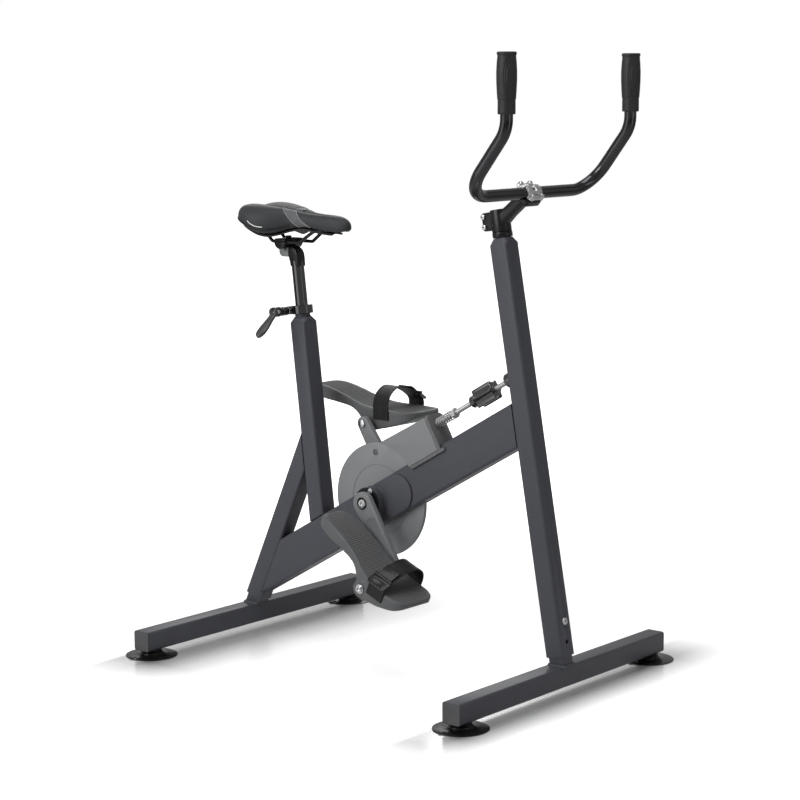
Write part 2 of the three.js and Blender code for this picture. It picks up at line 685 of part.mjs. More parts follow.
// Top view, as shares of the same lengths and of the width at the ball.
const pedalInnerShares = [
  [0.981, 0.255], [0.926, 0.109], [0.796, 0.027], [0.574, 0], [-0.402, 0], [-0.747, 0.014],
  [-0.92, 0.082], [-1, 0.245],
];
const pedalOuterShares = [
  [-1, 0.391], [-0.96, 0.564], [-0.851, 0.677], [-0.661, 0.718], [-0.431, 0.727], [-0.259, 0.764],
  [-0.086, 0.859], [0.111, 0.932], [0.407, 0.986], [0.63, 1], [0.833, 0.968], [0.963, 0.864],
  [1, 0.636],
];

const pedalX = (share) => (share < 0 ? share * pedal.heel : share * pedal.toe);

function footbed() {
  const sideView = outline([...pedalTopShares, ...pedalUnderShares].map(([along, up]) => (
    [pedalX(along), up * pedal.height]
  )));
  const topView = outline([...pedalInnerShares, ...pedalOuterShares].map(([along, across]) => (
    [pedalX(along), pedal.inner + across * pedal.ballWidth]
  )));
  const bed = slab(sideView, pedal.ballWidth + overrun, pedal.inner + pedal.ballWidth / 2);
  const plan = extruded(topView, 4 * pedal.height);
  const boss = alongY(cylinder(pedal.bossRadius, pedal.inner, pedal.bossEnd));
  const bore = alongY(cylinder(spindle.radius + fit, 0, pedal.inner + pedal.ballWidth + overrun, 20));
  const washerRoom = alongY(
    cylinder(spindle.washerRadius + fit, pedal.bossEnd, pedal.bossEnd + pedal.ballWidth, 20),
  );
  return cut(join(common(bed, plan), boss), bore, washerRoom);
}

// The strap's outer line over the foot, as shares of its width and height.
const strapShares = [
  [0, 0], [0, 0.25], [0, 0.5], [0.08, 0.8], [0.28, 1], [0.52, 0.95], [0.76, 0.78], [0.94, 0.58], [1, 0.42],
  [1, 0.2], [1, 0],
];

function strapLine(label) {
  const low = pedal.inner - strap.side - strap.thickness;
  const high = pedal.inner + pedal.ballWidth + strap.side + strap.thickness;
  const rise = strap.height[label];
  return new THREE.SplineCurve(strapShares.map(([across, up]) => (
    new THREE.Vector2(low + across * (high - low), strap.foot + up * rise)
  )));
}

function strapBand(label) {
  const line = strapLine(label);
  const outer = [];
  const inner = [];
  for (let i = 0; i <= strap.steps; i += 1) {
    const share = i / strap.steps;
    const point = line.getPoint(share);
    const tangent = line.getTangent(share);
    outer.push(point);
    inner.unshift(new THREE.Vector2(
      point.x + tangent.y * strap.thickness, point.y - tangent.x * strap.thickness,
    ));
  }
  return plank(new THREE.Shape([...outer, ...inner]), strap.width, strap.from[label] + strap.width / 2);
}

// The buckle's own frame lies on the strap: its Y runs down the strap, away from the crank.
function onStrap(geometry, label) {
  const point = strapLine(label).getPoint(buckle.place);
  const tangent = strapLine(label).getTangent(buckle.place);
  const down = new THREE.Vector3(0, tangent.x, tangent.y);
  const out = new THREE.Vector3(0, -tangent.y, tangent.x);
  const matrix = new THREE.Matrix4().makeBasis(new THREE.Vector3(1, 0, 0), down, out);
  matrix.setPosition(strap.from[label] + strap.width / 2, point.x, point.y);
  return geometry.applyMatrix4(matrix);
}

const pinHeight = buckle.lift + buckle.plate / 2 + buckle.knuckleRadius / 2;

function buckleFrame(label) {
  const half = buckle.width / 2;
  const low = buckle.lift;
  const plate = block([-half, 0, low], [half, buckle.length, low + buckle.plate]);
  const ears = [-1, 1].map((end) => {
    const ear = alongX(cylinder(buckle.knuckleRadius, half - buckle.ear, half, 12));
    if (end < 0) ear.rotateZ(Math.PI);
    return ear.translate(0, 0, pinHeight);
  });
  const pin = alongX(cylinder(buckle.pin, -half, half, 10)).translate(0, 0, pinHeight);
  const room = half - buckle.ear;
  const gap = block(
    [-room, -buckle.length, 0], [room, buckle.knuckleRadius + fit, low + buckle.plate + overrun],
  );
  return onStrap(join(cut(join(plate, ...ears), gap), pin), label);
}

function buckleLever(label) {
  const half = buckle.width / 2 - buckle.ear - fit;
  const low = buckle.lift;
  const barrel = alongX(cylinder(buckle.knuckleRadius - fit, -half, half, 12)).translate(0, 0, pinHeight);
  const plate = block([-half, -buckle.leverLength, low], [half, 0, low + buckle.leverThickness]);
  const bore = alongX(cylinder(buckle.pin + fit, -half - overrun, half + overrun, 10));
  return onStrap(cut(join(plate, barrel), bore.translate(0, 0, pinHeight)), label);
}

for (const [label, side] of [['right', -1], ['left', 1]]) {
  const place = crankFrame.localToWorld(new THREE.Vector3(-side * crank.length, 0, 0));
  const pedalFrame = frameAt(place.x, place.z, pedal.lean[label]);
  add(pedalFrame, `pedal_spindle_${label}`, pedalSpindle(side), 'steel');
  add(pedalFrame, `pedal_${label}`, onSide(footbed(), side), 'footbed');
  add(pedalFrame, `toe_strap_${label}`, onSide(strapBand(label), side), 'blackPlastic');
  add(pedalFrame, `buckle_${label}`, onSide(buckleFrame(label), side), 'blackPlastic');
  add(pedalFrame, `buckle_lever_${label}`, onSide(buckleLever(label), side), 'blackPlastic');
}

// Brake: shoe, pad, carrier, rod, spring, knob and the bush on the mast

const discFace = disc.radius + pad.gap;

function arcPoints(radius, from, to, steps) {
  return Array.from({ length: steps + 1 }, (_, i) => {
    const angle = radians(from + ((to - from) * i) / steps);
    return [radius * Math.cos(angle), radius * Math.sin(angle)];
  });
}

function rodCutter(low, high) {
  return alongX(cylinder(rod.radius + rod.play, low, high, 16)).translate(0, 0, rod.height);
}

const beamRoom = block(
  [-frameReach, -halfSquare - carrier.beamGap, -frameReach],
  [frameReach, halfSquare + carrier.beamGap, beamTop + fit],
);

function brakeShoe() {
  const low = beamTop - shoe.skirt;
  const start = THREE.MathUtils.radToDeg(Math.asin(low / shoe.faceRadius));
  const face = arcPoints(shoe.faceRadius, start, shoe.faceTop, 10);
  const shape = outline([
    ...face, [shoe.topBackX, shoe.topBack], [shoe.frontX, shoe.topFront], [shoe.frontX, low],
  ]);
  const body = slab(shape, 2 * shoe.halfWidth);
  return cut(body, beamRoom, rodCutter(shoe.frontX - shoe.rodSocket, shoe.frontX + overrun));
}

function brakePad() {
  const inner = arcPoints(discFace, pad.low, pad.high, 10);
  const outer = arcPoints(shoe.faceRadius - fit, pad.high, pad.low, 10);
  return slab(outline([...inner, ...outer]), 2 * pad.halfWidth);
}

function brakeCarrier() {
  const low = beamTop - shoe.skirt - fit - carrier.lip;
  const back = shoe.frontX + fit;
  const plateShape = roundedRectangle(2 * shoe.halfWidth, carrier.top - low, carrier.corner);
  const plate = plank(plateShape, carrier.thickness, back + carrier.thickness / 2, 4);
  plate.translate(0, 0, (carrier.top + low) / 2);
  const lipTop = beamTop - shoe.skirt - fit;
  const lips = block([carrier.lipBack, -shoe.halfWidth, low], [carrier.lipFront, shoe.halfWidth, lipTop]);
  return cut(join(plate, lips), beamRoom, rodCutter(back - overrun, back + carrier.thickness + overrun));
}

function brakeRod() {
  const hexSides = 6;
  const shaft = cylinder(rod.radius, rod.back, rod.end, 16);
  const nut = cylinder(rod.nutRadius, rod.nutPlace, rod.nutPlace + rod.nutLength, hexSides);
  return alongX(join(shaft, nut)).translate(0, 0, rod.height);
}

function starKnob() {
  const headLength = knob.length - knob.neckLength;
  const lobes = new THREE.Shape(Array.from({ length: knob.steps }, (_, i) => {
    const angle = (i / knob.steps) * full;
    const radius = knob.radius + knob.lobe * Math.cos(knob.lobes * angle);
    return new THREE.Vector2(radius * Math.cos(angle), radius * Math.sin(angle));
  }));
  const headMiddle = knob.back + knob.neckLength + headLength / 2;
  const head = extruded(lobes, headLength, 1, knob.bevel).translate(0, 0, headMiddle);
  const neck = cylinder(knob.neckRadius, knob.back, headMiddle);
  const bore = cylinder(rod.radius + fit, knob.back - overrun, knob.back + knob.length + overrun, 16);
  return alongX(cut(join(head, neck), bore)).translate(0, 0, rod.height);
}

function rodBush() {
  const steps = 5;
  const dome = Array.from({ length: steps + 1 }, (_, i) => {
    const angle = (i / steps) * quarter;
    return [bush.radius * Math.sin(angle), bush.back + bush.dome * (1 - Math.cos(angle))];
  });
  const far = rod.end + 2 * bush.radius;
  const body = alongX(turned([...dome, [bush.radius, far], [0, far]], 16)).translate(0, 0, rod.height);
  const socket = rodCutter(bush.back - overrun, bush.back + bush.socket);
  return cut(body, socket, carried(beyond(-halfSquare - fit, 1), mastFrame, beamFrame));
}

// The points of the spring's wire, as a round helix between the carrier and the nut
function springRoute() {
  const low = shoe.frontX + fit + carrier.thickness + fit + spring.wire;
  const high = rod.nutPlace - fit - spring.wire;
  const count = spring.turns * spring.curlSteps;
  return Array.from({ length: count + 1 }, (_, i) => {
    const angle = (i / spring.curlSteps) * full;
    const [y, z] = [spring.radius * Math.sin(angle), rod.height + spring.radius * Math.cos(angle)];
    return new THREE.Vector3(low + ((high - low) * i) / count, y, z);
  });
}

// The least gap of the wire to its own neighbouring curls
function leastGap(route, wire, skipped) {
  let least = Infinity;
  route.forEach((point, i) => {
    for (let k = i + skipped; k < route.length; k += 1) least = Math.min(least, point.distanceTo(route[k]));
  });
  return least - 2 * wire;
}

const wireRoute = springRoute();
const curlGap = leastGap(wireRoute, spring.wire, Math.floor(spring.curlSteps / 2) + 1);
console.log(`brake spring: least gap between curls ${curlGap.toFixed(2)} mm`);

add(beamFrame, 'brake_shoe', brakeShoe(), 'paleGrey');
add(beamFrame, 'brake_pad', brakePad(), 'rubber');
add(beamFrame, 'brake_carrier', brakeCarrier(), 'blackMetal');
add(beamFrame, 'brake_rod', brakeRod(), 'steel');
add(beamFrame, 'brake_spring', tubeAlong(wireRoute, spring.wire, spring.sides), 'steel');
add(beamFrame, 'brake_knob', starKnob(), 'blackPlastic');
add(beamFrame, 'rod_bush', rodBush(), 'blackPlastic');

// Stem and handlebar

const collarFoot = mast.squareTop + mastCollar.lift;
const stemFoot = collarFoot + mastCollar.height + fit;

function mastCollarRing() {
  const top = collarFoot + mastCollar.height;
  const edge = mastCollar.radius - mastCollar.chamfer;
  return turned([
    [mast.neckRadius + fit, collarFoot], [edge, collarFoot],
    [mastCollar.radius, collarFoot + mastCollar.chamfer], [mastCollar.radius, top - mastCollar.chamfer],
    [edge, top], [mast.neckRadius + fit, top],
  ], 16);
}

const faceFrame = frameAt(stem.barForward, stemFoot + stem.barUp, stem.faceTilt, mastFrame);

function stemBody() {
  const top = stemFoot + stem.height + stem.capThickness;
  const clamp = cylinder(stem.radius, stemFoot, top);
  const lug = block(
    [-stem.lugReach, -stem.lugHalf, stemFoot + stem.lugLow], [0, stem.lugHalf, stemFoot + stem.height],
  );
  const bolts = [stem.boltLow, stem.boltHigh].map((height) => (
    alongY(cylinder(stem.boltRadius, -stem.lugHalf - stem.boltHead, 0, 12))
      .translate(-stem.boltPlace, 0, stemFoot + height)
  ));
  const middle = stemFoot + stem.height / 2;
  const run = new THREE.Vector2(stem.barForward, stemFoot + stem.barUp - middle);
  const reach = run.length() - stem.clampBack / 2;
  const arm = block([0, -stem.neckSide, -stem.neckHalf], [reach, stem.neckSide, stem.neckHalf]);
  arm.rotateY(-run.angle()).translate(0, 0, middle);
  const back = block(
    [-stem.clampBack, -stem.clampSide, -stem.clampHalf], [-stem.split, stem.clampSide, stem.clampHalf],
  );
  const barHole = alongY(cylinder(bar.radius + fit, -frameReach, frameReach));
  const slit = block(
    [-stem.lugReach - overrun, -stem.slit / 2, stemFoot - overrun],
    [-mast.neckRadius, stem.slit / 2, stemFoot + stem.height + overrun],
  );
  const neckHole = cylinder(mast.neckRadius + fit, stemFoot - overrun, stemFoot + stem.height);
  const solid = join(clamp, lug, arm, carried(back, faceFrame, mastFrame));
  const keptBolts = join(cut(solid, neckHole, slit, carried(barHole, faceFrame, mastFrame)), ...bolts);
  return cut(keptBolts, neckHole);
}

function barClampCap() {
  const shape = roundedRectangle(barCap.thickness, 2 * stem.clampHalf, barCap.corner);
  const plate = slab(shape, 2 * stem.clampSide, 0, 3).translate(stem.split + barCap.thickness / 2, 0, 0);
  const screws = [-1, 1].flatMap((up) => [-1, 1].map((side) => {
    const tip = barCap.thickness + barCap.screwHead;
    const screw = alongX(cylinder(barCap.screwRadius, barCap.thickness / 2, tip, 8));
    return screw.translate(stem.split, side * barCap.screwSide, up * barCap.screwPlace);
  }));
  const barHole = alongY(cylinder(bar.radius + fit, -frameReach, frameReach));
  return cut(join(plate, ...screws), barHole);
}

const barPlace = faceFrame.getWorldPosition(new THREE.Vector3());
const barFrame = frameAt(barPlace.x, barPlace.z, 0);

function handlebar() {
  const top = bar.top - grip.cap - fit;
  const half = (side) => [
    [bar.reach, side * bar.halfSpan, top], [bar.reach, side * bar.halfSpan, bar.rise],
    [0, side * bar.halfSpan, 0],
  ];
  const corners = [...half(-1), ...half(1).reverse()].map((place) => new THREE.Vector3(...place));
  const route = bentRoute(corners, bar.bend, bar.bendSteps);
  return tubeAlong(route, bar.radius, bar.sides, bar.radius - bar.wall);
}

function handGrip(side) {
  const low = bar.top - grip.length;
  const flangeLow = bar.top - grip.flangeHeight;
  const bore = bar.radius + fit;
  const profile = [
    [0, bar.top - grip.cap], [bore, bar.top - grip.cap], [bore, low], [grip.lowRadius, low],
    [grip.radius, low + grip.flangeHeight], [grip.radius, flangeLow], [grip.flange, flangeLow + grip.bevel],
    [grip.flange, bar.top - grip.bevel], [grip.flange - grip.bevel, bar.top], [0, bar.top],
  ];
  return turned(profile, 16).translate(bar.reach, side * bar.halfSpan, 0);
}

add(mastFrame, 'mast_collar', mastCollarRing(), 'blackMetal');
add(mastFrame, 'stem', stemBody(), 'blackMetal');
add(faceFrame, 'bar_clamp_cap', barClampCap(), 'silver');
add(barFrame, 'handlebar', handlebar(), 'blackMetal');
add(barFrame, 'grip_right', handGrip(-1), 'rubber');
add(barFrame, 'grip_left', handGrip(1), 'rubber');

// Seat collar with its quick release

const collarLow = seatTube.squareTop + seatTube.taper + seatCollar.lift;
const collarHigh = collarLow + seatCollar.height;
const skewerFrame = frameAt(-seatCollar.skewerPlace, collarLow + seatCollar.height / 2, 0, seatFrame);

function seatCollarBody() {
  const ring = cylinder(seatCollar.radius, collarLow, collarHigh, 24);
  const lug = block(
    [-seatCollar.lugReach, -seatCollar.lugHalf, collarLow], [0, seatCollar.lugHalf, collarHigh],
  );
  const neckBore = cylinder(seatTube.neckRadius + fit, collarLow - overrun, seatNeckTop + fit, 24);
  const postBore = cylinder(post.radius + fit, collarLow, collarHigh + overrun);
  const slit = block(
    [-seatCollar.lugReach - overrun, -seatCollar.slit / 2, collarLow - overrun],
    [0, seatCollar.slit / 2, collarHigh + overrun],
  );
  const hole = alongY(cylinder(skewer.radius + fit, -frameReach, frameReach, 12));
  return cut(join(ring, lug), neckBore, postBore, slit, carried(hole, skewerFrame, seatFrame));
}

// The skewer runs across the lugs, with its nut on the left and the lever's cross pin on the right.
function skewerBody() {
  const seat = seatCollar.lugHalf + fit;
  const washerEnd = seat + skewer.washer;
  const neckEnd = washerEnd + skewer.neck;
  const barrelEnd = skewer.pivot - lever.hubRadius - fit;
  const profile = [
    [0, -skewer.pivot], [skewer.radius, -skewer.pivot], [skewer.radius, -barrelEnd],
    [skewer.barrelRadius, -barrelEnd], [skewer.barrelRadius, -neckEnd], [skewer.neckRadius, -neckEnd],
    [skewer.neckRadius, -washerEnd], [skewer.washerRadius, -washerEnd], [skewer.washerRadius, -seat],
    [skewer.radius, -seat], [skewer.radius, seat], [skewer.nutRadius, seat],
    [skewer.nutRadius, seat + skewer.nutLength], [0, seat + skewer.nutLength],
  ];
  const pin = alongX(cylinder(skewer.radius, -skewer.pinHalf, skewer.pinHalf, 12));
  return join(alongY(turned(profile, 12)), pin.translate(0, -skewer.pivot, 0));
}

function leverBody() {
  const blade = obround(lever.length - lever.halfWidth, 0, lever.halfWidth);
  const arm = extruded(blade, lever.thickness, 10);
  const hub = cylinder(lever.hubRadius, -lever.hubHalf, lever.hubHalf, 20).rotateX(quarter);
  const pinHole = cylinder(skewer.radius + fit, -frameReach, frameReach, 12).rotateX(quarter);
  const slot = block(
    [-frameReach, -lever.slotHalf, -frameReach], [lever.slotHalf, lever.slotHalf, frameReach],
  );
  const angle = radians(lever.drop);
  const turn = new THREE.Matrix4().makeBasis(
    new THREE.Vector3(0, -Math.cos(angle), -Math.sin(angle)), new THREE.Vector3(1, 0, 0),
    new THREE.Vector3(0, -Math.sin(angle), Math.cos(angle)),
  ).setPosition(0, -skewer.pivot, 0);
  return cut(join(arm, hub), pinHole, slot).applyMatrix4(turn);
}

add(seatFrame, 'seat_collar', seatCollarBody(), 'blackMetal');
add(skewerFrame, 'quick_release_skewer', skewerBody(), 'steel');
add(skewerFrame, 'quick_release_lever', leverBody(), 'blackPlastic');

// Seat post, and the half round cradle and plate that clamp the saddle rails

const saddleFrame = frameAt(cradle.x, cradle.z, 0);

function seatPost() {
  const tube = cylinder(post.radius, post.top - post.length, post.top);
  const bore = cylinder(post.radius - post.wall, post.top - post.length - overrun, post.top - post.plug);
  const top = saddleFrame.worldToLocal(seatFrame.localToWorld(new THREE.Vector3(0, 0, post.top)));
  const seatX = head.halfLength;
  const sideView = outline([
    [-seatX, -head.rear], [seatX, -head.rear], [top.x + head.heel, top.z],
    [top.x + head.heel, top.z - head.heel], [top.x - head.heel, top.z - head.heel], [-seatX, -head.depth],
  ]);
  const seat = alongY(cylinder(cradle.radius + cradle.seatGap, -frameReach, frameReach, 32));
  const headBody = cut(slab(sideView, 2 * head.halfWidth), seat);
  return cut(join(tube, carried(headBody, saddleFrame, seatFrame)), bore);
}

function railRoute() {
  const half = (side) => [
    [rail.rearX, side * rail.rearSpread, rail.rearZ], [rail.bendRearX, side * rail.spread, cradle.z],
    [rail.bendFrontX, side * rail.spread, cradle.z], [rail.frontX, side * rail.frontSpread, rail.frontZ],
    [rail.noseX, side * rail.noseSpread, rail.noseZ],
  ];
  const corners = [...half(-1), ...half(1).reverse()].map((place) => new THREE.Vector3(...place));
  return bentRoute(corners, rail.bend, rail.bendSteps);
}

const widerRails = tubeAlong(railRoute(), rail.radius + fit, rail.sides);
const railsRoom = carried(widerRails, bike, saddleFrame);

function saddleCradle() {
  const round = alongY(cylinder(cradle.radius, -cradle.halfWidth, cradle.halfWidth, 32));
  const above = block([-frameReach, -frameReach, -fit], [frameReach, frameReach, frameReach]);
  const boltHole = cylinder(cradle.boltRadius + fit, -cradle.radius - overrun, overrun, 16);
  return cut(round, above, railsRoom, boltHole);
}

function clampPlate() {
  const top = fit + cradle.plateThickness;
  const plate = block(
    [-cradle.plateHalf, -cradle.halfWidth, fit], [cradle.plateHalf, cradle.halfWidth, top],
  );
  const bolt = cylinder(cradle.boltRadius, -cradle.boltDepth, top, 16);
  const hexSides = 6;
  const boltHead = cylinder(cradle.headRadius, fit, top + cradle.headHeight, hexSides);
  return cut(join(plate, bolt, boltHead), railsRoom);
}

add(seatFrame, 'seat_post', seatPost(), 'steel');
add(saddleFrame, 'saddle_cradle', saddleCradle(), 'silver');
add(saddleFrame, 'saddle_clamp_plate', clampPlate(), 'blackMetal');
add(bike, 'saddle_rails', tubeAlong(railRoute(), rail.radius, rail.sides), 'blackMetal');

// Saddle cushion and its shell. Each row holds, as shares of the saddle's length, half width and
// height: the place along it, the width, the crown, the wing's top, the lower edge and the belly.
const saddleRows = [
  [0, 0.1, 0.5, 0.48, 0.3, 0.34], [0.02, 0.17, 0.6, 0.57, 0.22, 0.35], [0.06, 0.23, 0.66, 0.63, 0.14, 0.36],
  [0.12, 0.275, 0.7, 0.67, 0.1, 0.36], [0.2, 0.3, 0.72, 0.69, 0.12, 0.37], [0.3, 0.33, 0.72, 0.71, 0.18, 0.38],
  [0.4, 0.39, 0.74, 0.75, 0.23, 0.4], [0.5, 0.52, 0.76, 0.82, 0.17, 0.42], [0.58, 0.71, 0.79, 0.88, 0.06, 0.43],
  [0.66, 0.88, 0.82, 0.93, 0, 0.44], [0.74, 0.98, 0.86, 0.97, 0.05, 0.45], [0.82, 1, 0.89, 1, 0.18, 0.47],
  [0.9, 0.92, 0.9, 0.98, 0.33, 0.5], [0.96, 0.7, 0.84, 0.9, 0.44, 0.54], [1, 0.4, 0.68, 0.74, 0.5, 0.56],
];
// Across the saddle, as shares of its half width, and of the rise from its edge to the wing's top.
const saddleSideShares = [[0.86, 0], [0.98, 0.2], [1, 0.42], [0.93, 0.72], [0.78, 0.92]];
const wingShare = 0.5;
const edgeShare = 0.86;

const saddleX = (share) => saddle.noseX - share * saddle.length;
const saddleZ = (share) => saddle.low + share * saddle.height;

// The cushion's underside: flat over the shell, and curling down to its edges.
function undersideZ(row, across) {
  const [, width, , , edge, belly] = row;
  const share = Math.abs(across) / (edgeShare * width * saddle.halfWidth);
  return saddleZ(belly + (edge - belly) * share ** 3);
}

function cushionRing(row) {
  const [along, width, crown, wing, edge] = row;
  const half = width * saddle.halfWidth;
  const side = saddleSideShares.map(([out, up]) => [out * half, saddleZ(edge + up * (wing - edge))]);
  const inner = wingShare * wingShare * half;
  const top = [...side, [wingShare * half, saddleZ(wing)], [inner, saddleZ((wing + crown) / 2)]];
  const across = [...top, [0, saddleZ(crown)], ...top.map(([y, z]) => [-y, z]).reverse()];
  const curve = new THREE.SplineCurve(across.map(([y, z]) => new THREE.Vector2(y, z)));
  const upper = curve.getSpacedPoints(saddle.topSteps).map((point) => [saddleX(along), point.x, point.y]);
  const under = [];
  for (let k = 1 - saddle.underHalfSteps; k < saddle.underHalfSteps; k += 1) {
    const y = (k / saddle.underHalfSteps) * edgeShare * half;
    under.push([saddleX(along), y, undersideZ(row, y)]);
  }
  return [...upper, ...under];
}

function shellRing(row) {
  const [along, width] = row;
  const steps = saddle.underHalfSteps;
  const across = Array.from({ length: 2 * steps - 1 }, (_, k) => (
    ((steps - 1 - k) / steps) * edgeShare * width * saddle.halfWidth
  ));
  const top = across.map((y) => [saddleX(along), y, undersideZ(row, y) - shell.gap]);
  const bottom = top.map(([x, y, z]) => [x, y, z - shell.thickness]).reverse();
  return [...top, ...bottom];
}

function saddleShell() {
  const [waistRow, rearRow] = [saddleRows[7], saddleRows[11]];
  const body = lofted(saddleRows.slice(2, -1).map(shellRing));
  const noseSocket = block(
    [rail.noseX - shell.noseSocketBack, -shell.noseSocketHalf, rail.noseZ - rail.radius - shell.socketHang],
    [rail.noseX + shell.noseSocketFront, shell.noseSocketHalf, rail.noseZ + rail.radius + shell.noseSocketRise],
  );
  const rearTop = undersideZ(rearRow, rail.rearSpread + shell.rearSocketHalf) - shell.gap - shell.thickness / 2;
  const rearSockets = [-1, 1].map((side) => {
    const middle = side * rail.rearSpread;
    return block(
      [rail.rearX - shell.rearSocketHalf, middle - shell.rearSocketHalf, rail.rearZ - shell.socketHang],
      [rail.rearX + shell.rearSocketHalf, middle + shell.rearSocketHalf, rearTop],
    );
  });
  const bumper = alongY(cylinder(shell.bumperRadius, -shell.bumperHalf, shell.bumperHalf));
  bumper.translate(shell.bumperX, 0, undersideZ(waistRow, 0) - shell.thickness - shell.bumperDrop);
  return cut(join(body, noseSocket, ...rearSockets, bumper), widerRails);
}

add(bike, 'saddle_shell', saddleShell(), 'blackPlastic');
add(bike, 'saddle_cushion', geometryOf(solidOf(lofted(saddleRows.map(cushionRing)))), 'cushion');

export default bike;
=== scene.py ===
# %% [markdown]
# # A pool exercise bike
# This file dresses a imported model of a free-standing exercise bike. Every piece is made here in
# its real place, in metres, with +X towards the handlebar, +Y to the rider's left and +Z up.
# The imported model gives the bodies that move, and each piece rides on one of them.

import math

import bmesh
import bpy
import numpy as np
from mathutils import Matrix, Vector
from mathutils.bvhtree import BVHTree


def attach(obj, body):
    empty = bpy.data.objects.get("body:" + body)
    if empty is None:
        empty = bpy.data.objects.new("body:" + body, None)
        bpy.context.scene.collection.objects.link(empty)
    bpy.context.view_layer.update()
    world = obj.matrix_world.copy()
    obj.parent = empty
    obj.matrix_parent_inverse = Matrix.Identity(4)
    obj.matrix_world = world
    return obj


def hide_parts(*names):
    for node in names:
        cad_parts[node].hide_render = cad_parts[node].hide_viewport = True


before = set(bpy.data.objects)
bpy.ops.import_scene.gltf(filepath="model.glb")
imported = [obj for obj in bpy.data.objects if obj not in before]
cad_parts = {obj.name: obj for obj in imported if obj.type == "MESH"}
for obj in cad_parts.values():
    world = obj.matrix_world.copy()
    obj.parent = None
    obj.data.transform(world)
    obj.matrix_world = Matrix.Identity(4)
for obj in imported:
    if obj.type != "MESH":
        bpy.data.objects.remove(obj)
scene = bpy.context.scene
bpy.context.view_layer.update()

# %% [markdown]
# ## Frames and units
# The tubes of the bike lean at different angles, so each group of pieces has a frame of its own,
# in which its shapes are simple. Sizes are written in millimetres, because a maker measures the
# parts so, and each finished mesh is scaled to metres once, at the end.

# %% Frames of the tubes
MM = 0.001
TUBE = 40  # width of the square tube
FACE_ON = 20.3  # from a tube's middle to the end of a tube that is welded on its side


def frame_at(x, z, lean, parent=Matrix.Identity(4)):
    """A frame at x, z of its parent, whose Z axis leans back by lean degrees."""
    return parent @ Matrix.Translation((x, 0, z)) @ Matrix.Rotation(-math.radians(lean), 4, "Y")


FLOOR = frame_at(0, 0, 0)
FRONT_BASE = frame_at(396, 13, 0)
REAR_BASE = frame_at(-396, 13, 0)
MAST = frame_at(400.5, 53, 10.04)
LEG = frame_at(-391.1, 53, -24.4)
BEAM = frame_at(-42, 316, 29.7)
SEAT = frame_at(-165.2, 30.6, 6.78 - 29.7, BEAM)
CRANK = frame_at(-42, 316, -56.6)
FACE = frame_at(74, 882.6, 40, MAST)
BAR = frame_at(319.498, 934.985, 0)
SKEWER = frame_at(-28, 425, 0, SEAT)
SADDLE = frame_at(-286, 820, 0)
PEDAL = {"right": frame_at(48.829, 178.25, -23), "left": frame_at(-132.829, 453.75, 0)}
SIDES = {"right": -1, "left": 1}
print("seat tube foot", [round(v, 1) for v in SEAT.translation])

# %% [markdown]
# ## Shaping helpers
# Three kinds of shape cover most metal pieces: a section pushed along a line (loft), a profile
# turned about an axis (lathe) and a round bar swept along a path. Booleans cut the holes, and a
# small bevel rounds each edge, because an edge that catches a line of light is what makes a
# piece look real.

# %% Helpers that make a mesh
def make(points, faces, name="piece", edges=()):
    mesh = bpy.data.meshes.new(name)
    mesh.from_pydata([tuple(p) for p in points], list(edges), faces)
    mesh.validate()
    ob = bpy.data.objects.new(name, mesh)
    scene.collection.objects.link(ob)
    return ob


def outward(ob):
    """Merges doubles and turns all faces outwards."""
    bm = bmesh.new()
    bm.from_mesh(ob.data)
    bmesh.ops.remove_doubles(bm, verts=bm.verts, dist=0.002)
    bmesh.ops.recalc_face_normals(bm, faces=bm.faces)
    bm.to_mesh(ob.data)
    bm.free()
    return ob


def loft(rings, ends=True):
    """Rings of points, all alike in number, joined into one closed skin."""
    count = len(rings[0])
    faces = []
    for i in range(len(rings) - 1):
        for k in range(count):
            j = (k + 1) % count
            faces.append((i * count + k, i * count + j, (i + 1) * count + j, (i + 1) * count + k))
    if ends:
        last = (len(rings) - 1) * count
        faces.append(tuple(range(count)))
        faces.append(tuple(last + k for k in range(count)))
    return outward(make([p for ring in rings for p in ring], faces))


def circle(radius, count):
    turns = [math.tau * k / count for k in range(count)]
    return [(radius * math.cos(a), radius * math.sin(a)) for a in turns]


def lathe(profile, sides=64, axis="Z"):
    """A closed turned solid from its half outline of (radius, height)."""
    points, rows, faces = [], [], []
    for radius, height in profile:
        if radius < 1e-6:
            rows.append([len(points)] * sides)
            points.append((0, 0, height))
        else:
            rows.append([len(points) + k for k in range(sides)])
            points += [(x, y, height) for x, y in circle(radius, sides)]
    closed = profile[0][0] > 1e-6
    pairs = list(zip(rows, rows[1:] + ([rows[0]] if closed else [])))
    for low, high in pairs:
        for k in range(sides):
            j = (k + 1) % sides
            quad = [low[k], low[j], high[j], high[k]]
            face = [v for i, v in enumerate(quad) if v not in quad[:i]]
            if len(face) > 2:
                faces.append(tuple(face))
    ob = outward(make(points, faces))
    turns = {"X": Matrix.Rotation(math.pi / 2, 4, "Y"), "Y": Matrix.Rotation(-math.pi / 2, 4, "X")}
    if axis in turns:
        ob.data.transform(turns[axis])
    return ob


def rod(radius, low, high, axis="Z", sides=48):
    return lathe([(0, low), (radius, low), (radius, high), (0, high)], sides, axis)


def moved(ob, x=0, y=0, z=0):
    ob.data.transform(Matrix.Translation((x, y, z)))
    return ob


def turned(ob, degrees, axis):
    ob.data.transform(Matrix.Rotation(math.radians(degrees), 4, axis))
    return ob


def rounded(width, height, radius, steps=6):
    """A rounded rectangle about the origin, as a list of 2-D points."""
    points = []
    for i, (sx, sy) in enumerate([(1, -1), (1, 1), (-1, 1), (-1, -1)]):
        for k in range(steps + 1):
            a = math.radians(-90 + 90 * i + 90 * k / steps)
            x = sx * (width / 2 - radius) + radius * math.cos(a)
            points.append((x, sy * (height / 2 - radius) + radius * math.sin(a)))
    return points


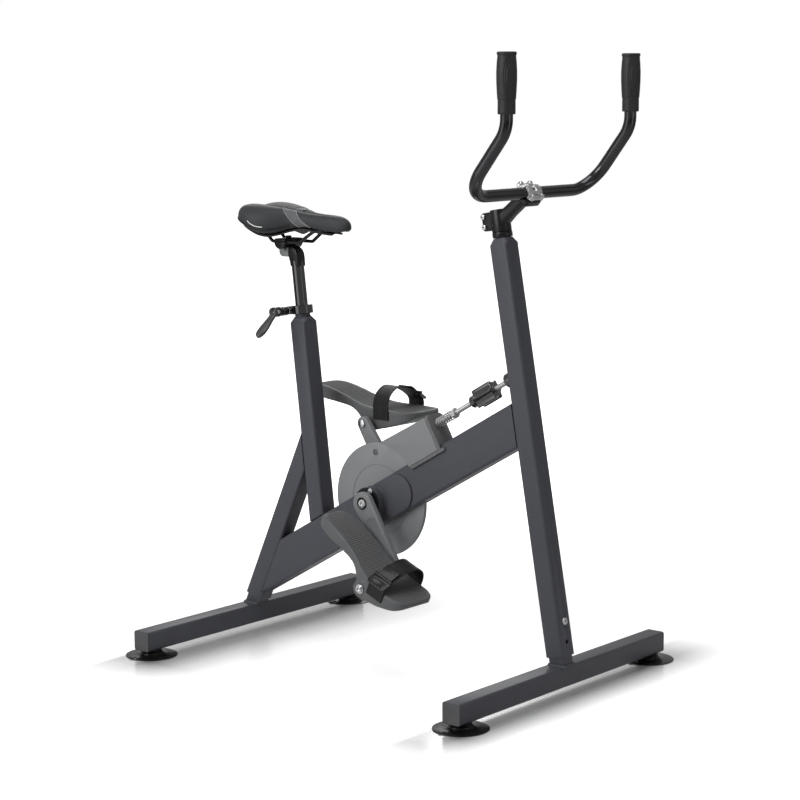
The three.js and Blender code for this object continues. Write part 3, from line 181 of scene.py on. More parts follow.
def prism(outline, low, high, plane="XY"):
    """A flat outline pushed from low to high along the axis that its plane leaves out."""
    place = {
        "XY": lambda p, d: (p[0], p[1], d),
        "XZ": lambda p, d: (p[0], d, p[1]),
        "YZ": lambda p, d: (d, p[0], p[1]),
    }[plane]
    return loft([[place(p, low) for p in outline], [place(p, high) for p in outline]])


def box(low, high):
    (a, b, c), (d, e, f) = low, high
    return prism([(a, b), (d, b), (d, e), (a, e)], c, f)


# %% [markdown]
# ## Cutting and joining
# A Boolean modifier with the fast manifold solver cuts one closed mesh with another. The result
# is taken from the evaluated object, so no live modifier stays on a piece.

# %% Helpers that combine meshes
def settle(ob):
    """Turns the modifiers of a piece into its mesh."""
    graph = bpy.context.evaluated_depsgraph_get()
    mesh = bpy.data.meshes.new_from_object(ob.evaluated_get(graph))
    ob.modifiers.clear()
    old = ob.data
    ob.data = mesh
    bpy.data.meshes.remove(old)
    return ob


def combine(ob, tools, operation):
    for tool in tools:
        change = ob.modifiers.new("combine", "BOOLEAN")
        change.object = tool
        change.operation = operation
        change.solver = "MANIFOLD"
    settle(ob)
    for tool in tools:
        bpy.data.objects.remove(tool)
    return ob


def cut(ob, *tools):
    return combine(ob, tools, "DIFFERENCE")


def fuse(ob, *others):
    return combine(ob, others, "UNION")


def group(ob, *others):
    """Several closed meshes as one object, with no boolean."""
    bm = bmesh.new()
    for part in (ob, *others):
        bm.from_mesh(part.data)
    bm.to_mesh(ob.data)
    bm.free()
    for part in others:
        bpy.data.objects.remove(part)
    return ob


def half(ob, point, normal):
    """Keeps what lies behind a plane, and closes the cut."""
    bm = bmesh.new()
    bm.from_mesh(ob.data)
    every = bm.verts[:] + bm.edges[:] + bm.faces[:]
    found = bmesh.ops.bisect_plane(
        bm, geom=every, plane_co=Vector(point), plane_no=Vector(normal), clear_outer=True, dist=1e-4)
    edges = [e for e in found["geom_cut"] if isinstance(e, bmesh.types.BMEdge)]
    bmesh.ops.contextual_create(bm, geom=edges)
    bmesh.ops.recalc_face_normals(bm, faces=bm.faces)
    bm.to_mesh(ob.data)
    bm.free()
    return ob


def mirrored(ob):
    ob.data.transform(Matrix.Scale(-1, 4, (0, 1, 0)))
    ob.data.flip_normals()
    return ob


def sided(ob, side):
    return mirrored(ob) if side < 0 else ob


def changed(ob, kind, **settings):
    """Turns one modifier with its settings into the mesh."""
    change = ob.modifiers.new(kind.lower(), kind)
    for name, value in settings.items():
        setattr(change, name, value)
    return settle(ob)


def soften(ob, width, segments=3, angle=30):
    """Rounds each sharp edge by a bevel of that width."""
    return changed(ob, "BEVEL", width=width, segments=segments, limit_method="ANGLE",
                   angle_limit=math.radians(angle), use_clamp_overlap=True)


def vertex_places(ob):
    spots = np.empty(len(ob.data.vertices) * 3)
    ob.data.vertices.foreach_get("co", spots)
    return spots.reshape(-1, 3)


def mark_vertices(ob, name, values, kind="FLOAT", key="value"):
    """Writes one value for each vertex into the mesh, for a finish to read."""
    values = np.asarray(values, np.float32).reshape(-1)
    ob.data.attributes.new(name, kind, "POINT").data.foreach_set(key, values)


def place(ob, name, into, body, slot, finish, stands_for=(), crease=35):
    """Puts a finished piece in its frame, gives it its finish and lets it ride on its body."""
    ob.name = name
    ob.data.name = name
    ob.data.transform(Matrix.Scale(MM, 4) @ into)
    ob.data.polygons.foreach_set("use_smooth", [True] * len(ob.data.polygons))
    ob.data.set_sharp_from_angle(angle=math.radians(crease))
    ob.data.materials.clear()
    ob.data.materials.append(finish)
    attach(ob, body)
    if stands_for:
        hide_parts(*stands_for)
    print("made", name, len(ob.data.polygons), "faces")
    return ob


def place_node(ob, node, into, body, slot, finish, crease=35):
    """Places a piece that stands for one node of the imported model, and is named after it."""
    return place(ob, f"{node}_piece", into, body, slot, finish, [node], crease)


# %% [markdown]
# ## Wiring nodes
# Finishes and node trees are networks of small nodes. One helper adds a node with its settings and
# fills its inputs: a socket is linked, and anything else is set as a plain value. It gives back
# the outputs, so a network reads as nested calls, from the surface back to the coordinates.

# %% Helpers for node networks
def feed(tree, node, inputs):
    for key, value in dict(inputs).items():
        if isinstance(value, bpy.types.NodeSocket):
            tree.links.new(value, node.inputs[key])
        else:
            node.inputs[key].default_value = value
    return node


def add(tree, kind, inputs=(), **settings):
    node = tree.nodes.new(kind)
    for name, value in settings.items():
        setattr(node, name, value)
    return feed(tree, node, inputs).outputs


def maths(tree, how, *values):
    return add(tree, "ShaderNodeMath", enumerate(values), operation=how)[0]


def ramp(tree, value, low, high, start=0.0, end=1.0):
    """Runs from start to end while the value runs from low to high."""
    inputs = {"Value": value, "From Min": low, "From Max": high, "To Min": start, "To Max": end}
    return add(tree, "ShaderNodeMapRange", inputs)["Result"]


def blend(tree, share, one, other):
    return add(tree, "ShaderNodeMix", {0: share, 6: one, 7: other}, data_type="RGBA")[2]


def relief(tree, height, strength, depth, under=None):
    """A bump of that depth in metres, laid over the bump that is there already."""
    inputs = {"Height": height, "Strength": strength, "Distance": depth}
    return add(tree, "ShaderNodeBump", {**inputs, "Normal": under} if under else inputs)["Normal"]


def fed_by(shader, key):
    return shader.inputs[key].links[0].from_socket


def shader_of(material):
    return material.node_tree, material.node_tree.nodes["Principled BSDF"]


# %% [markdown]
# ## Finishes
# Each finish is a node material on Object coordinates, so its grain keeps its real size on every
# piece. Powder coat on steel has a fine orange peel and slightly uneven gloss. Moulded plastic has
# an even, finer grain. The helper lays a broad noise over colour and gloss and a fine one over the
# surface, and a piece with a pattern of its own adds to that.

# %% Helper for a finish
GRAIN_DEPTH = 0.0004


def finish(name, colour, rough, metal=0.0, spread=0.04, shade=0.08, blotch=30.0, grain=900.0,
           bump=0.05, coat=0.0, specular=0.5):
    material = bpy.data.materials.new(name)
    material.use_nodes = True
    tree, shader = shader_of(material)
    place_of = add(tree, "ShaderNodeTexCoord")["Object"]
    broad, fine = (
        add(tree, "ShaderNodeTexNoise", {"Vector": place_of, "Scale": scale, "Detail": detail})["Fac"]
        for scale, detail in ((blotch, 4), (grain, 2)))
    dark, light = ((*[min(1, c * share) for c in colour], 1) for share in (1 - shade, 1 + shade))
    feed(tree, shader, {
        "Metallic": metal,
        "Coat Weight": coat,
        "Coat Roughness": 0.15,
        "Specular IOR Level": specular,
        "Base Color": blend(tree, broad, dark, light),
        "Roughness": ramp(tree, broad, 0, 1, rough - spread, rough + spread),
        "Normal": relief(tree, fine, bump, GRAIN_DEPTH),
    })
    return material


# %% The plain finishes
paint = finish("frame_powder_coat", (0.076, 0.078, 0.091), 0.36, spread=0.05, shade=0.05, grain=1300,
               bump=0.12, coat=0.04, specular=0.22)
foot_rubber = finish("foot_rubber", (0.006, 0.006, 0.006), 0.22, bump=0.04, specular=0.35)
plug_plastic = finish("plug_plastic", (0.080, 0.081, 0.084), 0.38, bump=0.08, specular=0.25)
bolt_steel = finish("bolt_steel", (0.62, 0.62, 0.63), 0.22, metal=1.0, shade=0.05)
post_black = finish("post_black_chrome", (0.085, 0.086, 0.088), 0.09, metal=1.0, spread=0.02, bump=0.005,
                    coat=0.2)
bar_black = finish("bar_black", (0.055, 0.055, 0.058), 0.17, metal=1.0, spread=0.03, bump=0.01, coat=0.15)
disc_grey = finish("disc_grey", (0.255, 0.26, 0.268), 0.44, metal=0.2, shade=0.04, grain=1500,
                   bump=0.06, specular=0.3)
crank_grey = finish("crank_grey", (0.225, 0.229, 0.235), 0.42, shade=0.05, bump=0.06, specular=0.3)
bearing_alloy = finish("bearing_alloy", (0.42, 0.425, 0.43), 0.36, metal=0.7, shade=0.05)
black_gloss = finish("black_gloss_paint", (0.009, 0.009, 0.010), 0.26, coat=0.06, bump=0.03, specular=0.25)
clamp_grey = finish("clamp_grey", (0.21, 0.213, 0.217), 0.4, metal=0.2, bump=0.1, specular=0.3)
clamp_alloy = finish("clamp_alloy", (0.52, 0.52, 0.53), 0.34, metal=0.85, shade=0.07, bump=0.12)
cover_grey = finish("brake_cover_grey", (0.25, 0.254, 0.26), 0.42, shade=0.03, bump=0.05, specular=0.2)
plate_grey = finish("brake_plate_grey", (0.16, 0.162, 0.166), 0.4, bump=0.05, specular=0.2)
pad_rubber = finish("pad_rubber", (0.02, 0.02, 0.02), 0.7, bump=0.3)
knob_plastic = finish("knob_plastic", (0.010, 0.010, 0.011), 0.16, bump=0.03, coat=0.8, specular=0.9)
rod_steel = finish("rod_steel", (0.5, 0.502, 0.506), 0.45, metal=0.7, shade=0.05, specular=0.3)
shell_plastic = finish("shell_plastic", (0.009, 0.009, 0.010), 0.42, bump=0.1, specular=0.3)
print("finishes", len(bpy.data.materials))

# %% [markdown]
# ## Base tubes, plugs and feet
# Each base tube is 40 mm square steel with a flush plastic plug in each end. A square tube's
# corners are rolled, not sharp, and the radius is what draws the light lines along its edges, so
# the section is a rounded square. Each foot is a thin rubber disc under three stacked rings.

# %% Base tubes and end plugs
def square_column(low, high, width=TUBE, radius=4.6, steps=7):
    section = rounded(width, width, radius, steps)
    return loft([[(x, y, low) for x, y in section], [(x, y, high) for x, y in section]])


def base_tube():
    tube = square_column(-325.1, 325.1)
    inner = square_column(-330, 330, 34.4, 2.4, 3)
    tube = turned(cut(tube, inner), -90, "X")
    moved(tube, z=20)
    return soften(tube, 0.35, 2)


def end_plug(side):
    flange = soften(square_column(325.5, 328.5), 0.9, 3)
    tongue = square_column(309.5, 325.6, 32.5, 2, 3)
    plug = moved(turned(group(flange, tongue), -90, "X"), z=20)
    return sided(plug, side)


for end, base in (("front", FRONT_BASE), ("rear", REAR_BASE)):
    place(base_tube(), f"{end}_base_piece", base, "frame", "frame_paint", paint, [f"{end}_base_tube"])
    for label, side in SIDES.items():
        place_node(end_plug(side), f"{end}_{label}_end_plug", base, "frame", "plug_plastic", plug_plastic)

# %% [markdown]
# The foot's rings and its thin lip come from one turned outline, with a small round at each
# corner. A lathe gives that in one closed mesh, where stacked discs would leave seams.

# %% Feet
def foot():
    profile = [
        (0, 0.8), (39.5, 0.5), (40.5, 0), (51.2, 0), (52, 0.5), (51.8, 1.3), (50.5, 1.7), (38, 2.4),
        (27, 3.3), (25.6, 3.9), (25.6, 4.7), (24.4, 5.2), (23.2, 5.2), (22.8, 5.7), (22.9, 6.7),
        (22.0, 7.3), (20.6, 7.4), (20.2, 7.9), (20.8, 8.6), (20.9, 9.6), (20.2, 10.2), (19.0, 10.4),
        (18.6, 11.0), (19.4, 11.6), (19.6, 12.2), (19.2, 12.7), (4, 12.7), (4, 27.5), (0, 27.5),
    ]
    return lathe(profile, 96)


def foot_tab():
    """The small moulded pull tab at the rim, which lifts a suction foot off the floor."""
    outline = [(38, -5), (50.5, -4.4), (51.6, -2.2), (51.6, 2.2), (50.5, 4.4), (38, 5)]
    return soften(prism(outline, 1.0, 3.4), 0.6, 2)


for end, base in (("front", FRONT_BASE), ("rear", REAR_BASE)):
    for label, side in SIDES.items():
        body = moved(group(foot(), turned(foot_tab(), -100, "Z")), y=side * 300, z=-13)
        place_node(body, f"{end}_{label}_foot", base, "frame", "foot_rubber", foot_rubber, crease=50)

# %% [markdown]
# ## The welded frame
# Mast, rear leg, seat tube and main beam are lofted from the same rounded square. Where a round
# neck leaves a square tube, the corners are cut back by a cone, which leaves four arched facets.
# A lofted square and a turned cone are intersected here, which gives those arches exactly.

# %% Mast, seat tube and rear leg
def necked_column(low, top, taper, taper_radius, neck_radius, neck_top, sides=96):
    column = square_column(low, top)
    cone = lathe([(0, low - 5), (29.2, low - 5), (29.2, top - taper), (taper_radius, top), (0, top)], sides)
    column = combine(column, [cone], "INTERSECT")
    return fuse(column, rod(neck_radius, top - taper, neck_top, sides=sides))


BOLT_UP, OPEN_HOLE_UP = 83, 44


def bolt_holes(ob, side, heights=(BOLT_UP, OPEN_HOLE_UP)):
    for height in heights:
        ob = cut(ob, moved(turned(rod(4.3, 0, 30, "X", 32), 0 if side > 0 else 180, "Z"), z=height))
    return ob


def in_frame(ob, source, target):
    ob.data.transform(target.inverted() @ source)
    return ob


def plane_cut(ob, other, own, point, normal):
    """Cuts a piece off at a plane that is given in another tube's frame."""
    matrix = own.inverted() @ other
    return half(ob, matrix @ Vector(point), (matrix.to_3x3() @ Vector(normal)).normalized())


def tube_end(ob, other, toward, own):
    """Cuts a tube off at the front (-1) or back (1) face of another tube."""
    return plane_cut(ob, other, own, (-toward * FACE_ON, 0, 0), (toward, 0, 0))


mast = bolt_holes(necked_column(17.5, 809.5, 16, 17.5, 14.3, 857), 1)
seat_tube = necked_column(-30, 411.5, 15.5, 16.5, 15.5, 431.5)
seat_tube = cut(seat_tube, rod(13, 380, 440, sides=64))
seat_tube = plane_cut(seat_tube, BEAM, SEAT, (0, 0, 30.9), (0, 0, -1))
leg = bolt_holes(tube_end(square_column(19, 480), SEAT, 1, LEG), -1)

# %% [markdown]
# The main beam is 80 by 40 mm. The disc runs in a slot through it, and the axle housing passes
# through its sides, so both are cut from the solid with turned cutters of the same sizes.

# %% Main beam
BEAM_UP = -9.4  # the beam's own middle, seen from the crank axis
beam = loft([[(x, y, z + BEAM_UP) for y, z in rounded(TUBE, 80, 6, 8)] for x in (-430, 430)])
beam = tube_end(tube_end(beam, MAST, 1, BEAM), LEG, -1, BEAM)
beam = cut(beam, rod(118, -6, 6, "Y", 128), rod(30.3, -50, 50, "Y", 64))
for node, tube, own in (("mast", mast, MAST), ("seat_tube", seat_tube, SEAT), ("rear_leg", leg, LEG),
                        ("main_beam", beam, BEAM)):
    place_node(soften(tube, 0.5, 3), node, own, "frame", "frame_paint", paint)

# %% [markdown]
# ## Lines, sweeps and node trees
# Bent tubes, straps and wire follow a smooth line. What repeats, such as screws, spring curls and
# stitches, is grown by Geometry Nodes: the tree has named sizes, so one number changes them all.
# Each modifier is turned into a plain mesh at once.

# %% Helpers for lines and node trees
def smooth_line(points, count):
    """Evenly spaced points on a smooth curve through all the given ones."""
    given = np.array(points, float)
    wide = np.vstack([given[:1], given, given[-1:]])
    t = np.linspace(0, 1, 25)[:-1, None]
    runs = [
        0.5 * (2 * b + (c - a) * t + (2 * a - 5 * b + 4 * c - d) * t ** 2 + (3 * b - a - 3 * c + d) * t ** 3)
        for a, b, c, d in zip(wide, wide[1:], wide[2:], wide[3:])
    ]
    fine = np.vstack(runs + [given[-1:]])
    travel = np.concatenate([[0], np.cumsum(np.linalg.norm(np.diff(fine, axis=0), axis=1))])
    want = np.linspace(0, travel[-1], count)
    return np.stack([np.interp(want, travel, fine[:, k]) for k in range(fine.shape[1])], 1)


def bent_line(corners, bend, steps=12):
    """Straight runs through corner points, each corner turned into a round bend."""
    corners = [Vector(c) for c in corners]
    line = [corners[0]]
    for a, b, c in zip(corners, corners[1:], corners[2:]):
        into, out = (a - b).normalized(), (c - b).normalized()
        opening = into.angle(out)
        reach = bend / math.tan(opening / 2)
        centre = b + (into + out).normalized() * (bend / math.sin(opening / 2))
        start, end = b + into * reach - centre, b + out * reach - centre
        for k in range(steps + 1):
            line.append(centre + start.lerp(end, k / steps).normalized() * bend)
    return line + [corners[-1]]


def sweep(line, radius, sides=24):
    """A round bar along a line of points, its section carried without twist."""
    line = [Vector(p) for p in line]
    ahead = [(b - a).normalized() for a, b in zip(line, line[1:])]
    ahead = [ahead[0]] + [(a + b).normalized() for a, b in zip(ahead, ahead[1:])] + [ahead[-1]]
    across = ahead[0].orthogonal().normalized()
    rings = []
    for point, way in zip(line, ahead):
        across = (across - way * across.dot(way)).normalized()
        other = way.cross(across)
        rings.append([point + across * x + other * y for x, y in circle(radius, sides)])
    return loft(rings)


def node_tree(title, sizes):
    """A Geometry Nodes tree with one named input for each size."""
    tree = bpy.data.node_groups.new(title, "GeometryNodeTree")
    tree.interface.new_socket("Geometry", in_out="OUTPUT", socket_type="NodeSocketGeometry")
    kinds = {int: "NodeSocketInt", float: "NodeSocketFloat", bpy.types.Object: "NodeSocketObject",
             bpy.types.Material: "NodeSocketMaterial"}
    for name, kind in sizes.items():
        tree.interface.new_socket(name, in_out="INPUT", socket_type=kinds[kind])
    return tree, add(tree, "NodeGroupInput")


def finish_tree(tree, given, result):
    """Ends a tree in real geometry with its material."""
    real = add(tree, "GeometryNodeRealizeInstances", {"Geometry": result})["Geometry"]
    coated = add(tree, "GeometryNodeSetMaterial", {"Geometry": real, "Material": given["Finish"]})
    add(tree, "NodeGroupOutput", {"Geometry": coated["Geometry"]})


def grown(tree, **sizes):
    """Runs a tree with its named sizes, and gives the plain mesh."""
    ob = make([], [], tree.name)
    change = ob.modifiers.new("grow", "NODES")
    change.node_group = tree
    for item in tree.interface.items_tree:
        if item.in_out == "INPUT":
            change[item.identifier] = sizes[item.name.replace(" ", "_").lower()]
    return settle(ob)


# %% Tree that sets screws on a circle
ring_tree, given = node_tree(
    "screw_ring", {"Screws": int, "Circle": float, "Screw": bpy.types.Object, "Finish": bpy.types.Material})
spots = add(ring_tree, "GeometryNodeMeshCircle", {"Vertices": given["Screws"], "Radius": given["Circle"]})
source = add(ring_tree, "GeometryNodeObjectInfo", {"Object": given["Screw"]})
set_out = add(ring_tree, "GeometryNodeInstanceOnPoints",
              {"Points": spots["Mesh"], "Instance": source["Geometry"]})
finish_tree(ring_tree, given, set_out["Instances"])


def cap_screw(radius, height, socket, low=0.0):
    """A button head with a rounded rim and a hexagon socket."""
    edge = min(radius, height) * 0.45
    rim = [(radius - edge * (1 - math.sin(a)), height - edge * (1 - math.cos(a)))
           for a in (math.pi / 2, math.pi / 3, math.pi / 6, 0)]
    head = lathe([(0, low), (radius, low), *rim, (0, height)], 32)
    return cut(head, rod(socket, height * 0.35, height + 2, sides=6))


def screw_ring(screws, circle, radius, height, socket, finish, low=0.0):
    screw = cap_screw(radius, height, socket, low)
    ring = grown(ring_tree, screws=screws, circle=circle, screw=screw, finish=finish)
    bpy.data.objects.remove(screw)
    return ring


print("node trees", len(bpy.data.node_groups))

# %% [markdown]
# ## Stubs and their bolts
# The mast and the rear leg are sleeves over slightly narrower stubs, which are welded to the base
# tubes. A weld bead is a row of overlapping ripples, so its surface is a wavy ring round the stub.

# %% Sleeve stubs with their weld beads
def weld_bead(width, radius, corner, ripples):
    """A fillet of ripples round a square tube, as a closed ring of closed rings."""
    outline = rounded(width, width, corner, 10)
    outline = [tuple(p) for p in smooth_line([*outline, outline[0]], 6 * ripples + 1)[:-1]]
    rings = []
    for k in range(9):
        turn = math.pi * k / 8 - math.pi / 4
        ring = []
        for i, (x, y) in enumerate(outline):
            swell = radius * (1 + 0.10 * math.sin(math.pi * (i % 6) / 3))
            out = 1 + swell * math.cos(turn) / math.hypot(x, y)
            ring.append((x * out, y * out, swell * (0.15 + math.sin(turn))))
        rings.append(ring)
    return loft([*rings, rings[0]], ends=False)


def sleeve_stub(own, base, side):
    post = plane_cut(square_column(-30, 60, 33.7, 4, 5), base, own, (0, 0, 40.2), (0, 0, -1))
    return soften(bolt_holes(post, side, (OPEN_HOLE_UP,)), 0.3, 2)


def sleeve_bolt(side):
    outline = [(0, 8.3), (4, 8.3), (4, 20.2), (7, 20.3), (7, 22.0), (6.6, 22.9), (5.6, 23.6),
               (4.9, 23.9), (0, 23.9)]
    bolt = turned(cut(lathe(outline, 40), rod(2.6, 21.8, 26, sides=6)), 90, "Y")
    return moved(turned(bolt, 0 if side > 0 else 180, "Z"), z=BOLT_UP)


for end, own, base, side, x in (("front", MAST, FRONT_BASE, 1, 4.5), ("rear", LEG, REAR_BASE, -1, 4.9)):
    stub = sleeve_stub(own, base, side)
    stub = group(stub, in_frame(moved(weld_bead(34.4, 3.3, 4, 44), x, z=40.6), base, own))
    place_node(stub, f"{end}_sleeve_stub", own, "frame", "frame_paint", paint, 60)
    place_node(sleeve_bolt(side), f"{end}_sleeve_bolt", own, "frame", "bolt_steel", bolt_steel)

# %% [markdown]
# ## Axle housings and bearings
# A tube welded through the beam carries the bearings, and an obround cheek plate on each side
# spreads the load. The bearing's flange is black, and three light lugs with button-head screws,
# set on a circle by the tree above, hold it. The dark seal ring inside shows around the crank.

# %% Housings
def obround(front, rear, radius, steps=28):
    turns = [math.pi * k / steps for k in range(steps + 1)]
    ahead = [(front + radius * math.sin(a), -radius * math.cos(a)) for a in turns]
    return ahead + [(-rear - radius * math.sin(a), radius * math.cos(a)) for a in turns]


def axle_housing(side):
    plate = soften(moved(prism(obround(62, 58, 38), 20.3, 24.0, "XZ"), z=BEAM_UP), 1.6, 4, 50)
    tube = lathe([(22, 15), (30, 15), (30, 23.9), (31.2, 24.2), (30.2, 25.4), (30, 26.4), (30, 41.2),
                  (29.4, 42), (22.6, 42), (22, 41.4)], 96, "Y")
    return sided(group(cut(plate, rod(26, 18, 30, "Y", 64)), tube), side)


def axle_bearing(side):
    outline = [(10.3, 26), (21.7, 26), (21.7, 42.3), (29.6, 42.3), (30, 42.7), (30, 44.8), (29.5, 45.3),
               (23.2, 45.3), (22.6, 44.9), (22.2, 44.2), (12.2, 44.2), (11.8, 44.9), (10.3, 44.9)]
    return sided(lathe(outline, 96, "Y"), side)


LUG_CIRCLE, FLANGE_OUT = 25.5, 45.3


def flange_lugs(side):
    """Three lugs and their screws, made flat and then stood up on the flange's outer face."""
    screws = screw_ring(3, LUG_CIRCLE, 3.4, 1.5, 1.7, bearing_alloy, -1.5)
    lugs = [soften(moved(rod(5.6, -0.4, 1.0), x, y), 0.5, 2) for x, y in circle(LUG_CIRCLE, 3)]
    lugs = turned(group(*lugs, moved(screws, z=1.0)), 80, "Z")
    return sided(turned(moved(lugs, z=FLANGE_OUT), -90, "X"), side)


for label, side in SIDES.items():
    place_node(axle_housing(side), f"axle_housing_{label}", BEAM, "frame", "frame_paint", paint)
    place_node(axle_bearing(side), f"axle_bearing_{label}", BEAM, "frame", "black_metal", black_gloss)
    place(flange_lugs(side), f"axle_bearing_{label}_lugs", BEAM, "frame", "bearing_alloy", bearing_alloy)

# %% [markdown]
# ## Crankset
# Axle, cranks and disc turn as one. The disc is turned from plate, with a shallow groove round its
# middle that shows as a dark line, and a hole that widens behind. The cranks are forged: wide at
# the axle, narrow at the pedal, with a step along the outside and a bolt sunk in a black ring.

# %% Axle and disc
axle = lathe([(0, -35), (4.2, -35), (4.2, -55), (7.6, -55), (8, -54.6), (8, -47.5), (10, -47.5), (10, 47.5),
              (8, 47.5), (8, 54.6), (7.6, 55), (4.2, 55), (4.2, 35), (0, 35)], 48, "Y")
place_node(axle, "crank_axle", CRANK, "crankset", "bolt_steel", bolt_steel)


def disc_face(sign):
    rows = [(10.3, 9), (27.4, 9), (28, 8.4), (28, 4), (69.2, 4), (69.5, 3.2), (70.7, 3.2), (71, 4),
            (112.9, 4), (113.6, 3.7), (114, 3)]
    return [(r, sign * h) for r, h in rows]


disc = lathe([*disc_face(1), *reversed(disc_face(-1))], 160, "Y")
HOLE_OUT, HOLE_TURN = 95, math.radians(153.5)
disc = cut(disc, *[moved(tool, HOLE_OUT * math.cos(HOLE_TURN), 0, HOLE_OUT * math.sin(HOLE_TURN))
                   for tool in (rod(6.5, -9, 9, "Y", 48), rod(12, -0.5, 9, "Y", 48))])
place_node(disc, "brake_disc", CRANK, "crankset", "disc_steel", disc_grey)

# %% Cranks and their bolts
CRANK_LENGTH = 165


def crank_outline(big, small, length, steps=20):
    lean = math.asin((big - small) / length)
    near = [math.pi / 2 - lean + (math.pi + 2 * lean) * k / steps for k in range(steps + 1)]
    far = [-math.pi / 2 + lean + (math.pi - 2 * lean) * k / steps for k in range(steps + 1)]
    return ([(big * math.cos(a), big * math.sin(a)) for a in near]
            + [(length + small * math.cos(a), small * math.sin(a)) for a in far])


def crank_arm(side):
    arm = soften(prism(crank_outline(23, 14, CRANK_LENGTH), 48, 60, "XZ"), 1.6, 3)
    step = [(38, -13.6), (150, -7.2), (150, 7.2), (38, 13.6), (34.5, 7), (33.6, 0), (34.5, -7)]
    arm = cut(arm, soften(prism(step, 59.2, 62, "XZ"), 0.4, 2))
    arm = cut(arm, rod(12.6, 56.3, 63, "Y", 64), rod(8.3, 46, 63, "Y", 48),
              moved(rod(7.3, 46, 63, "Y", 48), CRANK_LENGTH))
    return mirrored(arm) if side < 0 else turned(arm, 180, "Y")


def crank_bolt(side):
    outline = [(0, 45), (4, 45), (4, 56.8), (8.0, 56.8), (8.6, 57.3), (8.6, 60.2), (7.9, 60.8),
               (4.1, 60.8), (3.9, 60.5), (3.9, 58.8), (0, 58.8)]
    return sided(lathe(outline, 48, "Y"), side)


def bolt_ring(side):
    outline = [(8.8, 56.6), (12.4, 56.6), (12.4, 59.6), (11.7, 60.1), (9.4, 59.4), (8.8, 58.6)]
    return sided(lathe(outline, 64, "Y"), side)


for label, side in SIDES.items():
    place_node(crank_arm(side), f"crank_{label}", CRANK, "crankset", "crank_steel", crank_grey)
    place_node(crank_bolt(side), f"crank_bolt_{label}", CRANK, "crankset", "bolt_steel", bolt_steel)
    place(bolt_ring(side), f"crank_bolt_ring_{label}", CRANK, "crankset", "black_metal", black_gloss)

# %% [markdown]
# ## Pedals
# Each pedal is a long moulded footbed on a threaded spindle. Its outline is the side view cut
# with the top view. A voxel remesh then rounds every edge a little, as a mould does. The tread
# is marked on the mesh as an attribute, so that the finish can be rough there and smooth round it,
# and a second attribute keeps each point's place, for the studs to follow.

# %% Spindles
def pedal_spindle(side):
    outline = [(0, 47.7), (7, 47.7), (7, 60), (6.5, 60), (6.5, 172.3), (9.2, 172.3), (9.5, 172.6),
               (9.5, 173.6), (9.2, 173.9), (7, 173.9), (7, 176.8), (6.2, 177.8), (4.0, 177.9), (0, 177.9)]
    shaft = cut(lathe(outline, 48, "Y"), rod(3.4, 175.4, 180, "Y", 6))
    return sided(group(shaft, soften(rod(8.5, 43.7, 47.8, "Y", 6), 0.5, 2)), side)


for label, side in SIDES.items():
    node = f"pedal_spindle_{label}"
    place_node(pedal_spindle(side), node, PEDAL[label], "crankset", "bolt_steel", bolt_steel)

# %% Footbeds
HEEL, TOE, INNER, BALL, HEIGHT = 174, 108, 70, 110, 60
side_view = [
    (-1, 0.867), (-0.977, 1), (-0.92, 1.083), (-0.805, 1.1), (-0.678, 1.05), (-0.517, 0.942),
    (-0.356, 0.792), (-0.218, 0.65), (-0.103, 0.558), (0.074, 0.492), (0.463, 0.458), (0.778, 0.442),
    (0.935, 0.45), (1, 0.383), (0.963, 0.25), (0.833, 0.1), (0.667, 0), (0.481, -0.1), (0.278, -0.183),
    (0.074, -0.233), (-0.057, -0.167), (-0.126, 0.083), (-0.195, 0.3), (-0.299, 0.458), (-0.506, 0.558),
    (-0.713, 0.633), (-0.92, 0.75),
]
top_view = [
    (0.981, 0.255), (0.926, 0.109), (0.796, 0.027), (0.574, 0), (-0.402, 0), (-0.747, 0.014),
    (-0.92, 0.082), (-1, 0.245), (-1, 0.391), (-0.96, 0.564), (-0.851, 0.677), (-0.661, 0.718),
    (-0.431, 0.727), (-0.259, 0.764), (-0.086, 0.859), (0.111, 0.932), (0.407, 0.986), (0.63, 1),
    (0.833, 0.968), (0.963, 0.864), (1, 0.636),
]


def along_foot(share):
    return share * (HEEL if share < 0 else TOE)


def closed_line(points, count):
    """A smooth closed outline through the points."""
    line = smooth_line([points[-1], *points, points[0], points[1]], 12 * count)
    first = int(np.argmin(np.linalg.norm(line[: 6 * count] - points[0], axis=1)))
    last = len(line) - 1 - int(np.argmin(np.linalg.norm(line[::-1][: 6 * count] - points[0], axis=1)))
    return [tuple(p) for p in smooth_line(line[first:last + 1:3], count + 1)[:-1]]


plan = closed_line([(along_foot(a), INNER + b * BALL) for a, b in top_view], 120)
profile = closed_line([(along_foot(a), b * HEIGHT) for a, b in side_view], 140)


def rim_distance(points):
    """How far inside the plan outline each point lies."""
    line = np.array(plan + plan[:1])
    ends, starts = line[1:], line[:-1]
    run = ends - starts
    gap = points[:, None, :] - starts[None]
    share = np.clip((gap * run).sum(2) / (run ** 2).sum(1), 0, 1)
    return np.linalg.norm(gap - share[..., None] * run, axis=2).min(1)


